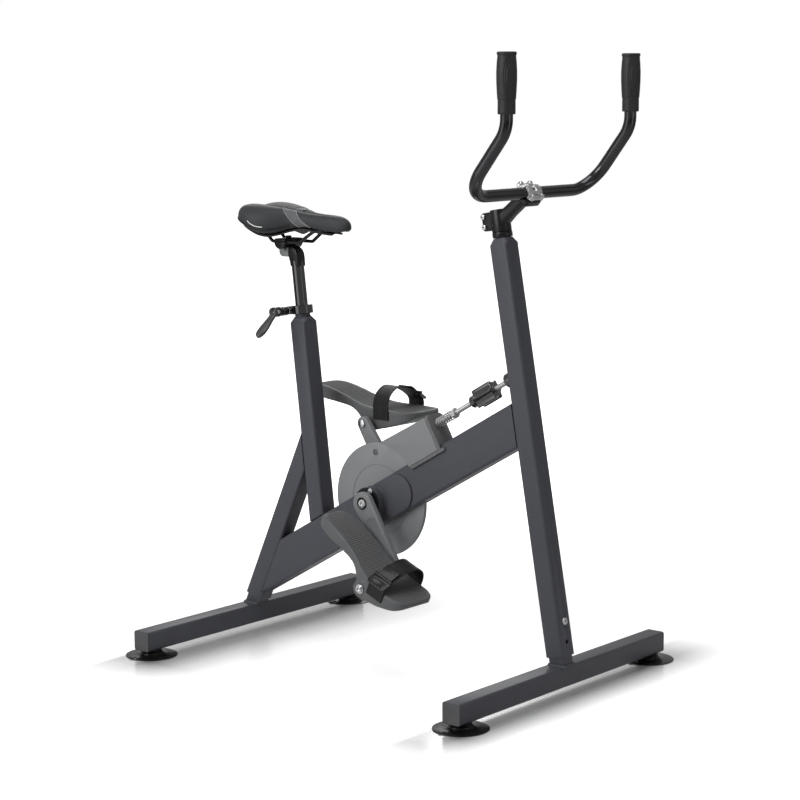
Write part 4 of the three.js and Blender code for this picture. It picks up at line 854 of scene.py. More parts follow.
def footbed(side):
    bed = prism(profile, INNER - 4, INNER + BALL + 4, "XZ")
    bed = combine(bed, [prism(plan, -40, 120, "XY")], "INTERSECT")
    bed = fuse(bed, rod(18, INNER, 172, "Y", 96))
    bed = changed(bed, "REMESH", mode="VOXEL", voxel_size=1.7)
    bed = changed(bed, "SMOOTH", factor=0.5, iterations=5)
    bed = cut(bed, rod(6.8, 60, 190, "Y", 48), rod(10.5, 171.8, 190, "Y", 48))
    spots = vertex_places(bed)
    facing = np.array([v.normal.z for v in bed.data.vertices])
    inside = rim_distance(spots[:, :2])
    tread = np.clip((inside - 7.5) / 1.6, 0, 1) * np.clip((facing - 0.45) / 0.25, 0, 1)
    groove = np.exp(-((inside - 7.0) / 1.0) ** 2) * np.clip((facing - 0.5) / 0.2, 0, 1)
    mark_vertices(bed, "tread", tread)
    mark_vertices(bed, "tread_place", spots, "FLOAT_VECTOR", "vector")
    for vertex, depth in zip(bed.data.vertices, groove):
        vertex.co.z -= 0.7 * depth
    return sided(bed, side)


# %% [markdown]
# The tread is a grid of small studs: two sine waves that cross at right angles, multiplied. Their
# product lifts the surface, and the same waves tint the colour light and dark, as painted light and
# shade on the studs.

# %% Finish of the footbeds
def crossed_waves(tree, name, ways):
    """The product of two sine waves over a piece's own coordinates, from -1 to 1."""
    place_on = add(tree, "ShaderNodeAttribute", attribute_name=name)["Vector"]
    along = [add(tree, "ShaderNodeVectorMath", {0: place_on, 1: way}, operation="DOT_PRODUCT")["Value"]
             for way in ways]
    return maths(tree, "MULTIPLY", *[maths(tree, "SINE", distance) for distance in along])


def footbed_finish():
    material = finish("footbed_plastic", (0.125, 0.128, 0.131), 0.42, grain=1100, bump=0.10, specular=0.22)
    tree, shader = shader_of(material)
    tread = add(tree, "ShaderNodeAttribute", attribute_name="tread")["Fac"]
    studs = crossed_waves(tree, "tread_place", ((0.7, 0.7, 0), (0.7, -0.7, 0)))
    # painted light and shade: the studs' colour runs from light to dark with the waves of their relief
    painted_stud_shade = blend(tree, ramp(tree, studs, -0.6, 0.6), (0.21, 0.213, 0.217, 1), (0.05, 0.051, 0.052, 1))
    height = maths(tree, "MULTIPLY", studs, tread)
    feed(tree, shader, {
        "Base Color": blend(tree, tread, fed_by(shader, "Base Color"), painted_stud_shade),
        "Roughness": ramp(tree, tread, 0, 1, 0.38, 0.68),
        "Normal": relief(tree, height, 0.55, 0.0012, fed_by(shader, "Normal")),
    })
    return material


footbed_plastic = footbed_finish()
for label, side in SIDES.items():
    node = f"pedal_{label}"
    place_node(footbed(side), node, PEDAL[label], node, "footbed_plastic", footbed_plastic, crease=60)

# %% [markdown]
# ## Toe straps
# A strap is a flat band bent over the foot. It is modelled straight from its line, because a
# cloth simulation would round its edges away. It carries its own coordinates, along and across
# the band in millimetres, so that the weave follows the bend.

# %% Straps
STRAP_WIDTH, STRAP_THICK, STRAP_OFF = 40, 2.6, 2.95
STRAP_FROM, STRAP_RISE = {"right": 22, "left": 12}, {"right": 60, "left": 66}
strap_shape = [
    (0, 0), (0, 0.25), (0, 0.5), (0.08, 0.8), (0.28, 1), (0.52, 0.95), (0.76, 0.78), (0.94, 0.58), (1, 0.42),
    (1, 0.2), (1, 0),
]


def strap_line(label):
    low, high = INNER - STRAP_OFF, INNER + BALL + STRAP_OFF
    return [(low + a * (high - low), 8 + b * STRAP_RISE[label]) for a, b in strap_shape]


def band(line, section, middle):
    """A section pushed along a line in the YZ plane, with its own coordinates."""
    ways = [np.subtract(b, a) for a, b in zip([line[0], *line[:-1]], [*line[1:], line[-1]])]
    rings, travel, total = [], [], 0.0
    for i, (point, way) in enumerate(zip(line, ways)):
        total += 0 if i == 0 else float(np.linalg.norm(np.subtract(point, line[i - 1])))
        ty, tz = way / np.linalg.norm(way)
        rings.append([(middle + w, point[0] - tz * h, point[1] + ty * h) for w, h in section])
        travel += [(w, total, h) for w, h in section]
    points = [p for ring in rings for p in ring]
    ob = loft(rings)
    keyed = {tuple(round(c, 2) for c in p): t for p, t in zip(points, travel)}
    values = [keyed.get(tuple(round(c, 2) for c in v.co), (0, 0, 0)) for v in ob.data.vertices]
    mark_vertices(ob, "weave", values, "FLOAT_VECTOR", "vector")
    return ob


def strap_section(width, thickness):
    """A flat band with rounded edges and two raised borders, its outer side up."""
    w, t = width / 2, thickness
    edge = [(w / 2, -0.34), (w - 3.9, -0.3), (w - 3.4, 0), (w - 1.2, 0), (w - 0.5, -0.12), (w, -t * 0.35),
            (w, -t * 0.55), (w - 0.5, -t + 0.15), (w - 1.2, -t)]
    left = [(-x, y) for x, y in reversed(edge)]
    return [*left[2:], (0, -0.34), *edge, (0, -t), *left[:2]]


def toe_strap(label, side):
    line = [tuple(p) for p in smooth_line(strap_line(label), 130)]
    middle = STRAP_FROM[label] + STRAP_WIDTH / 2
    return sided(band(line, strap_section(STRAP_WIDTH, STRAP_THICK), middle), side)


# %% Finish of the straps
def strap_finish(name, weave):
    material = finish(name, (0.014, 0.0142, 0.015), 0.38, grain=1500, bump=0.05, specular=0.28)
    tree, shader = shader_of(material)
    threads = crossed_waves(tree, "weave", ((2.1, 0, 0), (0, 1.7, 0)))
    feed(tree, shader, {"Normal": relief(tree, threads, weave, 0.0005, fed_by(shader, "Normal"))})
    return material


strap_smooth = strap_finish("strap_plastic", 0.15)
strap_woven = strap_finish("strap_woven", 0.9)
buckle_plastic = finish("buckle_plastic", (0.012, 0.0122, 0.013), 0.30, bump=0.04, coat=0.05, specular=0.3)
for label, side in SIDES.items():
    node, coat = f"toe_strap_{label}", strap_smooth if side < 0 else strap_woven
    place_node(toe_strap(label, side), node, PEDAL[label], f"pedal_{label}", "strap_plastic", coat)

# %% [markdown]
# ## Buckles
# The buckle's plate lies on the strap and carries a pin between two ears. Its lever turns about
# that pin. Both are moulded, so their edges are rounded, and the lever ends in a thumb lip.

# %% Buckles and their levers
BUCKLE_SHARE = 0.66  # how far along the strap's line the buckle sits


def on_strap(ob, label, side):
    """Carries a piece from the buckle's own frame, whose Y runs down the strap, to the pedal's."""
    points = np.array(strap_line(label))
    p = BUCKLE_SHARE * (len(points) - 1)
    i, w = int(p), p - int(p)
    a, b, c, d = points[i - 1:i + 3]
    bow, twist = 2 * a - 5 * b + 4 * c - d, 3 * b - a - 3 * c + d
    spot = 0.5 * (2 * b + (c - a) * w + bow * w ** 2 + twist * w ** 3)
    way = 0.5 * ((c - a) + 2 * bow * w + 3 * twist * w ** 2)
    ty, tz = way / np.linalg.norm(way)
    ob.data.transform(Matrix((
        (1, 0, 0, STRAP_FROM[label] + STRAP_WIDTH / 2), (0, ty, -tz, spot[0]), (0, tz, ty, spot[1]),
        (0, 0, 0, 1))))
    return sided(ob, side)


PIN_UP = 3.6


def buckle_frame(label, side):
    plate = prism([(-22, 0), (22, 0), (22, 20), (19, 24), (-19, 24), (-22, 20)], 0.4, 3.4)
    ears = [moved(rod(3.4, low, low + 5, "X", 40), z=PIN_UP) for low in (-22, 17)]
    plate = fuse(plate, *ears)
    plate = cut(plate, box((-17, -24, 0), (17, 3.7, 8)))
    window = soften(box((-13, 8, 2.4), (13, 19, 6)), 0.8, 2)
    plate = soften(cut(plate, window), 0.6, 3)
    pin = moved(rod(1.6, -22.3, 22.3, "X", 24), z=PIN_UP)
    return on_strap(group(plate, pin), label, side)


def buckle_lever(label, side):
    outline = [(-30, 0.5), (-29, 0.4), (0, 0.4), (0, 3.8), (-24, 3.8), (-27.5, 3.6), (-30, 2.6)]
    blade = prism(outline, -16.7, 16.7, "YZ")
    blade = fuse(blade, moved(rod(3.1, -16.7, 16.7, "X", 40), z=PIN_UP))
    ridges = [soften(box((-12, y, 3.3), (12, y + 1.2, 4.3)), 0.3, 2) for y in (-25, -22, -19)]
    blade = cut(blade, moved(rod(1.9, -20, 20, "X", 24), z=PIN_UP))
    blade = soften(blade, 0.6, 3)
    return on_strap(group(blade, *ridges), label, side)


for label, side in SIDES.items():
    for make_piece, node, body in ((buckle_frame, f"buckle_{label}", f"pedal_{label}"),
                                   (buckle_lever, f"buckle_lever_{label}", f"buckle_lever_{label}")):
        place_node(make_piece(label, side), node, PEDAL[label], body, "strap_plastic", buckle_plastic)

# %% [markdown]
# ## Brake
# A grey moulded cover holds the pad against the disc's rim. It slides on the beam, pulled by a
# threaded rod that the knob turns, and a spring stands between its front plate and the nut. The
# cover's underside straddles the beam, so a block of the beam's size is cut out of it.

# %% Cover, pad and front plate
def arc(radius, start, end, steps):
    turns = [math.radians(start + (end - start) * k / steps) for k in range(steps + 1)]
    return [(radius * math.cos(a), radius * math.sin(a)) for a in turns]


BEAM_TOP = 30.6
ROD_UP, ROD_ROOM = 73.6, 5.3  # height of the threaded rod, and radius of the holes it runs in


def beam_room():
    return box((-200, -20.5, -200), (500, 20.5, BEAM_TOP + 0.3))


def brake_cover():
    low = BEAM_TOP - 8
    face = arc(120, math.degrees(math.asin(low / 120)), 50, 40)
    outline = [*face, (79, 95.6), (202, 91.6), (202, low)]
    cover = soften(prism(outline, -25, 25, "XZ"), 2.6, 5, 40)
    return cut(cover, beam_room(), moved(rod(ROD_ROOM, 180, 220, "X", 40), z=ROD_UP))


def front_plate():
    low, high = BEAM_TOP - 14.3, 94.6
    plate = loft([[(x, y, z + (high + low) / 2) for y, z in rounded(50, high - low, 10, 10)]
                  for x in (202.3, 209)])
    plate = fuse(plate, box((122, -25, low), (217, 25, BEAM_TOP - 8.3)))
    plate = cut(plate, beam_room(), moved(rod(ROD_ROOM, 190, 230, "X", 40), z=ROD_UP))
    return soften(plate, 0.7, 3)


place(brake_cover(), "brake_cover", BEAM, "brake", "brake_cover", cover_grey, ["brake_shoe"])
pad = prism([*arc(115, 17, 48, 40), *arc(119.7, 48, 17, 40)], -12, 12, "XZ")
place_node(soften(pad, 0.5, 2, 50), "brake_pad", BEAM, "brake", "brake_pad", pad_rubber)
place(front_plate(), "brake_front_plate", BEAM, "brake", "brake_cover", plate_grey, ["brake_carrier"])

# %% [markdown]
# The rod's thread is a shallow ripple turned into its outline, which at this size reads as a
# thread. The spring is a helix grown by a node tree: a spiral curve with a round section.

# %% Rod, nut and spring
def threaded_rod():
    outline = [(0, 190), (4.4, 190), (5, 190.8)]
    x = 212.0
    while x < 306:
        outline += [(5.0, x), (4.62, x + 0.55), (4.62, x + 0.8), (5.0, x + 1.3)]
        x += 1.5
    outline += [(5, 308), (5, 400), (4.4, 409), (0, 409)]
    shaft = lathe(outline, 32, "X")
    nut = lathe([(5.0, 253), (8.6, 253), (10.4, 254.2), (10.4, 260.8), (8.6, 262), (5.0, 262)], 48, "X")
    nut = combine(nut, [rod(10.4, 250, 265, "X", 6)], "INTERSECT")
    return moved(group(shaft, soften(nut, 0.25, 2)), z=ROD_UP)


place_node(threaded_rod(), "brake_rod", BEAM, "brake_knob", "bolt_steel", rod_steel, 60)

coil_tree, given = node_tree("coil_spring", {
    "Turns": float, "Coil": float, "Length": float, "Wire": float, "Finish": bpy.types.Material})
spiral = add(coil_tree, "GeometryNodeCurveSpiral", {
    "Resolution": 28, "Rotations": given["Turns"], "Start Radius": given["Coil"], "End Radius": given["Coil"],
    "Height": given["Length"]})
section = add(coil_tree, "GeometryNodeCurvePrimitiveCircle", {"Resolution": 14, "Radius": given["Wire"]})
wire = add(coil_tree, "GeometryNodeCurveToMesh", {
    "Fill Caps": True, "Curve": spiral["Curve"], "Profile Curve": section["Curve"]})
finish_tree(coil_tree, given, wire["Mesh"])
spring = grown(coil_tree, turns=7.0, coil=8.5, length=40.9, wire=1.15, finish=rod_steel)
outward(moved(turned(spring, 90, "Y"), 210.55, 0, ROD_UP))
place_node(spring, "brake_spring", BEAM, "brake", "bolt_steel", rod_steel, 80)

# %% [markdown]
# The knob is a moulded grip on a narrow neck. Its section is a circle with six narrow lobes and
# wide hollows between them for the fingers, and its rings shrink at both ends to round the edges.

# %% Knob and bush
def star_knob():
    ends = [(322, 0.86), (322.4, 0.94), (323.4, 0.985), (325, 1), (346, 1.0), (366, 1), (368.6, 0.985),
            (370.2, 0.94), (371, 0.86)]
    section = []
    for x, y in circle(1, 288):
        beside = math.remainder(math.atan2(y, x), math.tau / 6)
        radius = 15.6 + 5.2 * math.exp(-(beside / 0.2) ** 2)
        section.append((radius * x, radius * y))
    head = loft([[(x, y * share, z * share) for y, z in section] for x, share in ends])
    neck = lathe([(5.3, 308), (11.2, 308), (12, 308.8), (12, 320), (13.4, 322.6), (5.3, 322.6)], 64, "X")
    ring = lathe([(5.4, 370.4), (9, 370.4), (9, 371.0), (8.4, 371.6), (5.4, 371.6)], 48, "X")
    return moved(group(cut(head, rod(ROD_ROOM, 300, 380, "X", 40)), neck, ring), z=ROD_UP)


def rod_bush():
    dome = [(15 * math.sin(a), 400 + 8 * (1 - math.cos(a))) for a in np.linspace(0, math.pi / 2, 15)]
    body = cut(lathe([*dome, (15, 440), (0, 440)], 64, "X"), rod(ROD_ROOM, 395, 414, "X", 40))
    return tube_end(moved(body, z=ROD_UP), MAST, 1, BEAM)


place_node(star_knob(), "brake_knob", BEAM, "brake_knob", "knob_plastic", knob_plastic)
place_node(rod_bush(), "rod_bush", BEAM, "frame", "knob_plastic", knob_plastic)

# %% [markdown]
# ## Stem and handlebar
# The stem clamps round the mast's neck with two bolts through a slotted lug. Its arm runs up and
# forward to a saddle for the bar, and a bright cap with four screws holds the bar in it. Cast and
# forged pieces flow into each other, so the joined solid gets wide soft edges.

# %% Collar and stem
STEM_LOW, NECK_ROOM = 820.6, 14.6  # foot of the stem on the mast, and radius of the hole for the neck


def mast_collar():
    outline = [(NECK_ROOM, 810.3), (18, 810.3), (18.7, 810.6), (19, 811.3), (19, 819.2), (18.7, 820),
               (18, 820.3), (NECK_ROOM, 820.3)]
    return lathe(outline, 80)


def bar_hole():
    return rod(11.9, -60, 60, "Y", 64)


def stem_body():
    """The stem with its foot at height 0, moved up the mast at the end."""
    clamp = lathe([(0, 0), (17.6, 0), (18.5, 0.9), (18.5, 39), (17.4, 42), (0, 43)], 96)
    lug = soften(box((-37, -11, 5), (0, 11, 40)), 4.5, 5)
    run = Vector((74, 0, 62 - 20))
    reach = run.length - 8.5
    arm = loft([[(x, y * grow, z * grow) for y, z in rounded(28, 26, 9, 8)]
                for x, grow in ((0, 1.12), (14, 1.05), (32, 0.94), (reach - 12, 0.94), (reach, 1.0))])
    moved(turned(arm, -math.degrees(math.atan2(run.z, run.x)), "Y"), z=20)
    bar_frame = Matrix.Translation((0, 0, -STEM_LOW)) @ MAST.inverted() @ FACE
    back = in_frame(soften(box((-17, -22, -21), (-0.8, 22, 21)), 5, 5), bar_frame, FLOOR)
    solid = fuse(clamp, lug, arm, back)
    slit = box((-45, -0.8, -3), (-14, 0.8, 50))
    solid = cut(solid, in_frame(bar_hole(), bar_frame, FLOOR), slit, rod(NECK_ROOM, -3, 40))
    return moved(soften(solid, 0.7, 3, 35), z=STEM_LOW)


place_node(mast_collar(), "mast_collar", MAST, "frame", "black_metal", black_gloss)
place_node(stem_body(), "stem", MAST, "steering", "black_metal", black_gloss)
for level, up in (("lower", 13), ("upper", 32)):
    screw = moved(turned(cap_screw(5, 4, 2.4, -6), 90, "X"), -31, -11, STEM_LOW + up)
    place(screw, f"stem_{level}_screw", MAST, "steering", "bolt_steel", bolt_steel)

# %% Bar clamp cap
CAP_SCREWS = [(side * 14, up * 17.4) for up in (-1, 1) for side in (-1, 1)]


def clamp_cap():
    shell = soften(rod(16.2, -21, 21, "Y", 96), 2.4, 4)
    web = soften(box((-3, -20, -21), (6.4, 20, 21)), 2, 3)
    cap = fuse(shell, web, *[moved(rod(5.8, -3, 8.6, "X", 48), y=y, z=z) for y, z in CAP_SCREWS])
    waist = [moved(rod(8, -60, 60, "X", 48), y=y) for y in (-27.4, 27.4)]
    slot = soften(box((11, -7.5, -9), (20, 7.5, 9)), 3, 4)
    cap = cut(cap, bar_hole(), box((-40, -60, -60), (0.8, 60, 60)), *waist, slot)
    return soften(cap, 0.6, 3)


place_node(clamp_cap(), "bar_clamp_cap", FACE, "steering", "clamp_alloy", clamp_alloy)
cap_screws = group(*[moved(turned(cap_screw(4, 3.2, 1.9, -1), 90, "Y"), 8.7, y, z) for y, z in CAP_SCREWS])
place(cap_screws, "bar_clamp_screws", FACE, "steering", "bolt_steel", bolt_steel)

# %% Handlebar
half_route = [(92.5, 192.5, 250.7), (92.5, 192.5, 119), (0, 192.5, 0)]
corners = [(x, -y, z) for x, y, z in half_route] + half_route[::-1]
bar = sweep(bent_line(corners, 60, 24), 11.5, 48)
place_node(bar, "handlebar", BAR, "handlebar", "black_metal", bar_black)

# %% [markdown]
# Each grip is a sleeve of dense foam with a raised end flange. It is a stack of rings, and where a
# ring passes the palm its radius dips along two nested ovals and swells inside them, so the ovals
# are pressed into the real surface. The foam's fine cells come from its finish.

# %% Grips
PALM_TURN, PALM_UP = 0.55, 213


def oval_pattern(angle, height):
    """Two pressed-in oval lines round a small swell, as a change of radius."""
    across, up = math.remainder(angle + PALM_TURN, math.tau) * 18, height - PALM_UP
    change = 0.5 * math.exp(-(math.hypot(across / 4.5, up / 15)) ** 2)
    for wide, tall, deep in ((8, 22, 0.8), (11.5, 30, 0.6)):
        off = math.hypot(across / wide, up / tall) - 1
        change -= deep * math.exp(-(off * wide / 1.1) ** 2)
    return change


def hand_grip(side):
    outline = np.array([
        (14.8, 147), (15.5, 147.8), (15.8, 149.5), (15.7, 172.2), (16.4, 173.2), (17.3, 186), (18.2, 205),
        (18.3, 220), (17.5, 236), (16.5, 246), (16.5, 249), (17.2, 249.8), (17.5, 250.6), (17.5, 253.4),
        (16.9, 254.4), (15.6, 255)])
    steps = ((147, 178, 0.6), (178, 246, 1.0), (246, 255.1, 0.6))
    rings = []
    for height in np.concatenate([np.arange(*step) for step in steps]):
        plain = np.interp(height, outline[:, 1], outline[:, 0])
        ring = []
        for x, y in circle(1, 144):
            radius = plain + oval_pattern(math.atan2(y, x), height)
            ring.append((radius * x, radius * y, float(height)))
        rings.append(ring)
    return moved(cut(loft(rings), rod(11.8, 140, 251, sides=64)), 92.5, side * 192.5, 0)


grip_foam = finish("grip_foam", (0.022, 0.0224, 0.0235), 0.5, grain=900, bump=0.3, specular=0.35)
for label, side in SIDES.items():
    place_node(hand_grip(side), f"grip_{label}", BAR, "handlebar", "grip_foam", grip_foam)

# %% [markdown]
# ## Seat post, collar and quick release
# The post is a black chromed tube that slides in the seat tube. A slotted collar squeezes the neck
# round it, pulled together by a skewer whose lever works a cam. A half-round cradle on the post's
# head and a plate above it grip the saddle's two rails.

# %% Collar and quick release
def seat_collar():
    ring = lathe([(0, 416.5), (21.4, 416.5), (22, 417.1), (22, 432.9), (21.4, 433.5), (0, 433.5)], 96)
    lug = soften(box((-36, -10, 416.5), (0, 10, 433.5)), 1.6, 4)
    collar = cut(fuse(ring, lug), rod(15.8, 410, 431.8, sides=64), rod(13.0, 410, 440, sides=64),
                 box((-40, -0.8, 410), (0, 0.8, 440)))
    hole = in_frame(rod(2.8, -40, 40, "Y", 24), SKEWER, SEAT)
    return soften(cut(collar, hole), 0.35, 2)


PIN_OUT = 50  # from the post's middle to the pin that the lever turns on


def skewer():
    washer = [(2.6, -13.3), (6.1, -13.3), (6.5, -12.9), (6.5, -10.7), (6.1, -10.3), (2.6, -10.3)]
    neck = [(2.6, -17.3), (5, -17.3), (5, -13.3), (2.6, -13.3)]
    nut = [(0, 10.3), (6.4, 10.3), (7, 10.9), (7, 16.4), (5.2, 18.3), (0, 18.3)]
    pin_half = [(2.5, 9.4), (3.8, 9.5), (3.8, 10.9), (3.2, 11.4), (0, 11.4)]
    pin = lathe([(r, -x) for r, x in reversed(pin_half)] + pin_half, 32, "X")
    turned_pieces = [lathe(outline, 48, "Y") for outline in (washer, neck, nut)]
    return group(rod(2.5, -PIN_OUT, 10.3, "Y", 32), *turned_pieces, moved(pin, y=-PIN_OUT))


def skewer_barrel():
    outline = [(5.2, -39.7), (8.9, -39.7), (9.5, -39.1), (9.5, -33.4), (9.1, -32.9), (9.1, -32.1),
               (9.5, -31.6), (9.5, -18.2), (8.9, -17.4), (5.2, -17.4)]
    return lathe(outline, 64, "Y")


LEVER_TURN = math.radians(38.3)


def release_lever():
    edge = [(0, 8), (10, 7.2), (22, 7.6), (36, 9.6), (50, 11.2), (61, 10.6), (69, 7.4), (73, 3.4)]
    leaf = [tuple(p) for p in smooth_line([(x, -y) for x, y in edge] + [(74, 0)] + edge[::-1], 90)]
    blade = soften(prism(leaf, -3.5, 3.5), 1.4, 4)
    inner = [(30 + (x - 22) * 0.8, y * 0.72) for x, y in leaf if x > 22]
    blade = cut(blade, soften(prism(inner, 2.7, 8), 0.5, 2))
    lever = fuse(blade, soften(rod(10, -9, 9, "Y", 64), 1.2, 3))
    lever = cut(lever, rod(2.8, -20, 20, "Y", 32), box((-40, -3.2, -40), (3.2, 3.2, 40)))
    low, out = math.sin(LEVER_TURN), math.cos(LEVER_TURN)
    lever.data.transform(Matrix(((0, 1, 0, 0), (-out, 0, -low, -PIN_OUT), (-low, 0, out, 0), (0, 0, 0, 1))))
    return lever


place_node(seat_collar(), "seat_collar", SEAT, "frame", "black_metal", post_black)
place_node(skewer(), "quick_release_skewer", SKEWER, "frame", "bolt_steel", bolt_steel)
place(skewer_barrel(), "quick_release_barrel", SKEWER, "frame", "knob_plastic", knob_plastic)
place_node(release_lever(), "quick_release_lever", SKEWER, "quick_release", "knob_plastic", knob_plastic)

# %% Post, cradle and plate
POST_TOP = 524
RAIL, RAIL_ROOM = 3.5, 3.8  # radius of the rails' wire, and of the grooves that hold it


def seat_post():
    tube = lathe([(10.7, 194), (12.7, 194), (12.7, POST_TOP), (0, POST_TOP), (0, 514), (10.7, 514)], 96)
    top = SADDLE.inverted() @ SEAT @ Vector((0, 0, POST_TOP))
    bend = [(8, -8.5), (13, -8.5), (22, -10.5), (29, -15.5), (top.x + 10.4, -23), (top.x + 12, -31),
            (top.x + 13.4, top.z - 12), (top.x - 10.6, top.z - 12), (top.x - 11.8, -42), (9, -35), (8, -30)]
    neck = soften(prism(bend, -12, 12, "XZ"), 4.5, 5, 40)
    corner = [(-4 - 11 * math.sin(a), -20 - 11 * math.cos(a)) for a in np.linspace(0, math.pi / 2, 9)]
    block = soften(prism([(10, -9), (10, -31), *corner, (-15, -9)], -13, 13, "XZ"), 1.2, 3, 40)
    seats = [soften(cut(piece, rod(15.5, -40, 40, "Y", 96)), 0.4, 2, 50) for piece in (neck, block)]
    return tube, *[in_frame(piece, SADDLE, SEAT) for piece in seats]


tube, neck, block = seat_post()
place(block, "seat_post_block", SEAT, "seatpost", "clamp_alloy", clamp_grey)
place_node(tube, "seat_post", SEAT, "seatpost", "post_steel", post_black)
place(neck, "seat_post_head", SEAT, "seatpost", "black_metal", black_gloss)


def rails(radius, sides=16):
    side = [(-343, 22, 852), (-312, 20, 820), (-238, 20, 820), (-204, 15, 843), (-178, 12, 845)]
    return sweep(bent_line([(x, -y, z) for x, y, z in side] + side[::-1], 10, 8), radius, sides)


def saddle_cradle():
    cradle = cut(rod(15, -27, 27, "Y", 96), box((-30, -40, -0.3), (30, 40, 40)))
    rooms = in_frame(rails(RAIL_ROOM), FLOOR, SADDLE)
    return soften(cut(cradle, rooms, rod(3.3, -20, 5, sides=24)), 0.8, 3)


place_node(saddle_cradle(), "saddle_cradle", SADDLE, "saddle_clamp", "clamp_alloy", black_gloss)
clamp_plate = soften(box((-14, -27, 0.3), (14, 27, 6.3)), 1.6, 3)
clamp_plate = cut(clamp_plate, in_frame(rails(RAIL_ROOM), FLOOR, SADDLE))
place_node(clamp_plate, "saddle_clamp_plate", SADDLE, "saddle_clamp", "black_metal", black_gloss)
clamp_bolt = group(rod(3, -12, 6.5, sides=32), soften(rod(6.5, 6.2, 11.3, sides=6), 0.6, 2))
place(clamp_bolt, "saddle_clamp_bolt", SADDLE, "saddle_clamp", "black_metal", black_gloss)
place_node(rails(RAIL, 32), "saddle_rails", FLOOR, "saddle", "black_metal", black_gloss, 60)

# %% [markdown]
# ## Saddle
# The saddle is a plastic shell with a foam cushion and a cover over it. Both follow one table of
# sections along its length: a narrow nose, a waist and wide wings. Each row holds the place along
# the saddle, the width, and the heights of crown, wing, edge and belly, all as shares of the
# saddle's sizes. The cushion is lofted through the sections, then swelled by a short cloth
# simulation, as foam under a stretched cover is.

# %% Sections of the saddle
NOSE_X, LENGTH, HALF_WIDTH, LOW, TALL = -120, 265, 79, 835, 62
saddle_rows = [
    (0, 0.1, 0.42, 0.4, 0.2, 0.22), (0.02, 0.17, 0.53, 0.5, 0.14, 0.16), (0.06, 0.23, 0.63, 0.6, 0.1, 0.13),
    (0.12, 0.275, 0.7, 0.67, 0.1, 0.15), (0.2, 0.3, 0.72, 0.69, 0.12, 0.18),
    (0.3, 0.33, 0.72, 0.71, 0.18, 0.27), (0.4, 0.39, 0.74, 0.75, 0.23, 0.36),
    (0.5, 0.52, 0.76, 0.82, 0.17, 0.42), (0.58, 0.71, 0.79, 0.88, 0.06, 0.43),
    (0.66, 0.88, 0.82, 0.93, 0, 0.44), (0.74, 0.98, 0.86, 0.97, 0.05, 0.45), (0.82, 1, 0.89, 1, 0.18, 0.47),
    (0.9, 0.92, 0.9, 0.98, 0.33, 0.5), (0.96, 0.7, 0.84, 0.9, 0.44, 0.54), (1, 0.4, 0.68, 0.74, 0.5, 0.56),
]
side_shares = [(0.86, 0), (0.98, 0.2), (1, 0.42), (0.93, 0.72), (0.78, 0.92)]
BELLY_REACH = side_shares[0][0] * HALF_WIDTH


def saddle_x(share):
    return NOSE_X - share * LENGTH


def saddle_z(share):
    return LOW + share * TALL


def underside(row, across):
    share = min(abs(across) / (0.7 * row[1] * HALF_WIDTH), 1)
    return saddle_z(row[5] + (row[4] - row[5]) * share ** 3)


def fine_rows(count):
    """The table's sections, smoothly filled in along the saddle."""
    table = np.array(saddle_rows)
    line = smooth_line(np.column_stack([table[:, 0] * 4, table[:, 1:]]), 400)
    want = np.linspace(0, 1, count)
    want = 0.5 - 0.5 * np.cos(math.pi * want) * (1 - 0.25 * np.sin(math.pi * want))
    want = np.sort(np.clip(want, 0, 1))
    return [np.array([w] + [np.interp(w, line[:, 0] / 4, line[:, k]) for k in range(1, 6)]) for w in want]


def cushion_ring(row, inset, over=56, under=20):
    """One closed section, its upper side smooth and all of it drawn in by the inset."""
    along, width, crown, wing, edge, _ = row
    wide = width * HALF_WIDTH
    side = [(out * wide, saddle_z(edge + up * (wing - edge))) for out, up in side_shares]
    top = side + [(0.5 * wide, saddle_z(wing)), (0.25 * wide, saddle_z((wing + crown) / 2))]
    across = top + [(0, saddle_z(crown))] + [(-y, z) for y, z in reversed(top)]
    upper = [tuple(p) for p in smooth_line(across, over)]
    below = [(2 * k / under - 1) * BELLY_REACH * width for k in range(1, under)]
    ring = np.array(upper + [(y, underside(row, y)) for y in below])
    middle = ring.mean(0)
    gap = ring - middle
    far = np.linalg.norm(gap, axis=1, keepdims=True)
    ring = middle + gap * np.clip(1 - inset / np.maximum(far, 1e-6), 0.3, 1)
    return [(saddle_x(along), y, z) for y, z in ring]


SHELL_GAP, SHELL_THICK = 1.1, 3.5


def saddle_shell():
    rings = []
    for row in fine_rows(70):
        if not 0.12 <= row[0] <= 0.965:
            continue
        across = [0.87 * BELLY_REACH * row[1] * (1 - k / 12) for k in range(25)]
        top = [(saddle_x(row[0]), y, underside(row, y) - SHELL_GAP) for y in across]
        rings.append(top + [(x, y, z - SHELL_THICK) for x, y, z in reversed(top)])
    body = loft(rings)
    sockets = [soften(box((-198, -14, 838.5), (-171, 14, 850.8)), 2.5, 3)]
    rear_top = underside(saddle_rows[11], 31) - SHELL_GAP - SHELL_THICK / 2
    for y in (-22, 22):
        sockets.append(soften(box((-352, y - 9, 849), (-334, y + 9, rear_top)), 2, 3))
    bumper = moved(soften(rod(7, -12, 12, "Y", 48), 1.2, 3), -245, 0, underside(saddle_rows[7], 0) - 9.5)
    return cut(fuse(body, *sockets, bumper), rails(RAIL_ROOM))


place_node(saddle_shell(), "saddle_shell", FLOOR, "saddle", "saddle_shell", shell_plastic)

# %% The cushion, swelled by a short cloth simulation
def near_middle(points):
    """1 in the channel along the saddle's middle, 0 outside it, fading out at the nose."""
    along = (NOSE_X - points[:, 0]) / LENGTH
    return np.exp(-(points[:, 1] / 5.5) ** 2) * np.clip((along - 0.1) / 0.15, 0, 1)


def write_places(ob, spots):
    ob.data.vertices.foreach_set("co", spots.reshape(-1))
    ob.data.update()


CLOTH_STEPS, SWELL = 20, 2.6


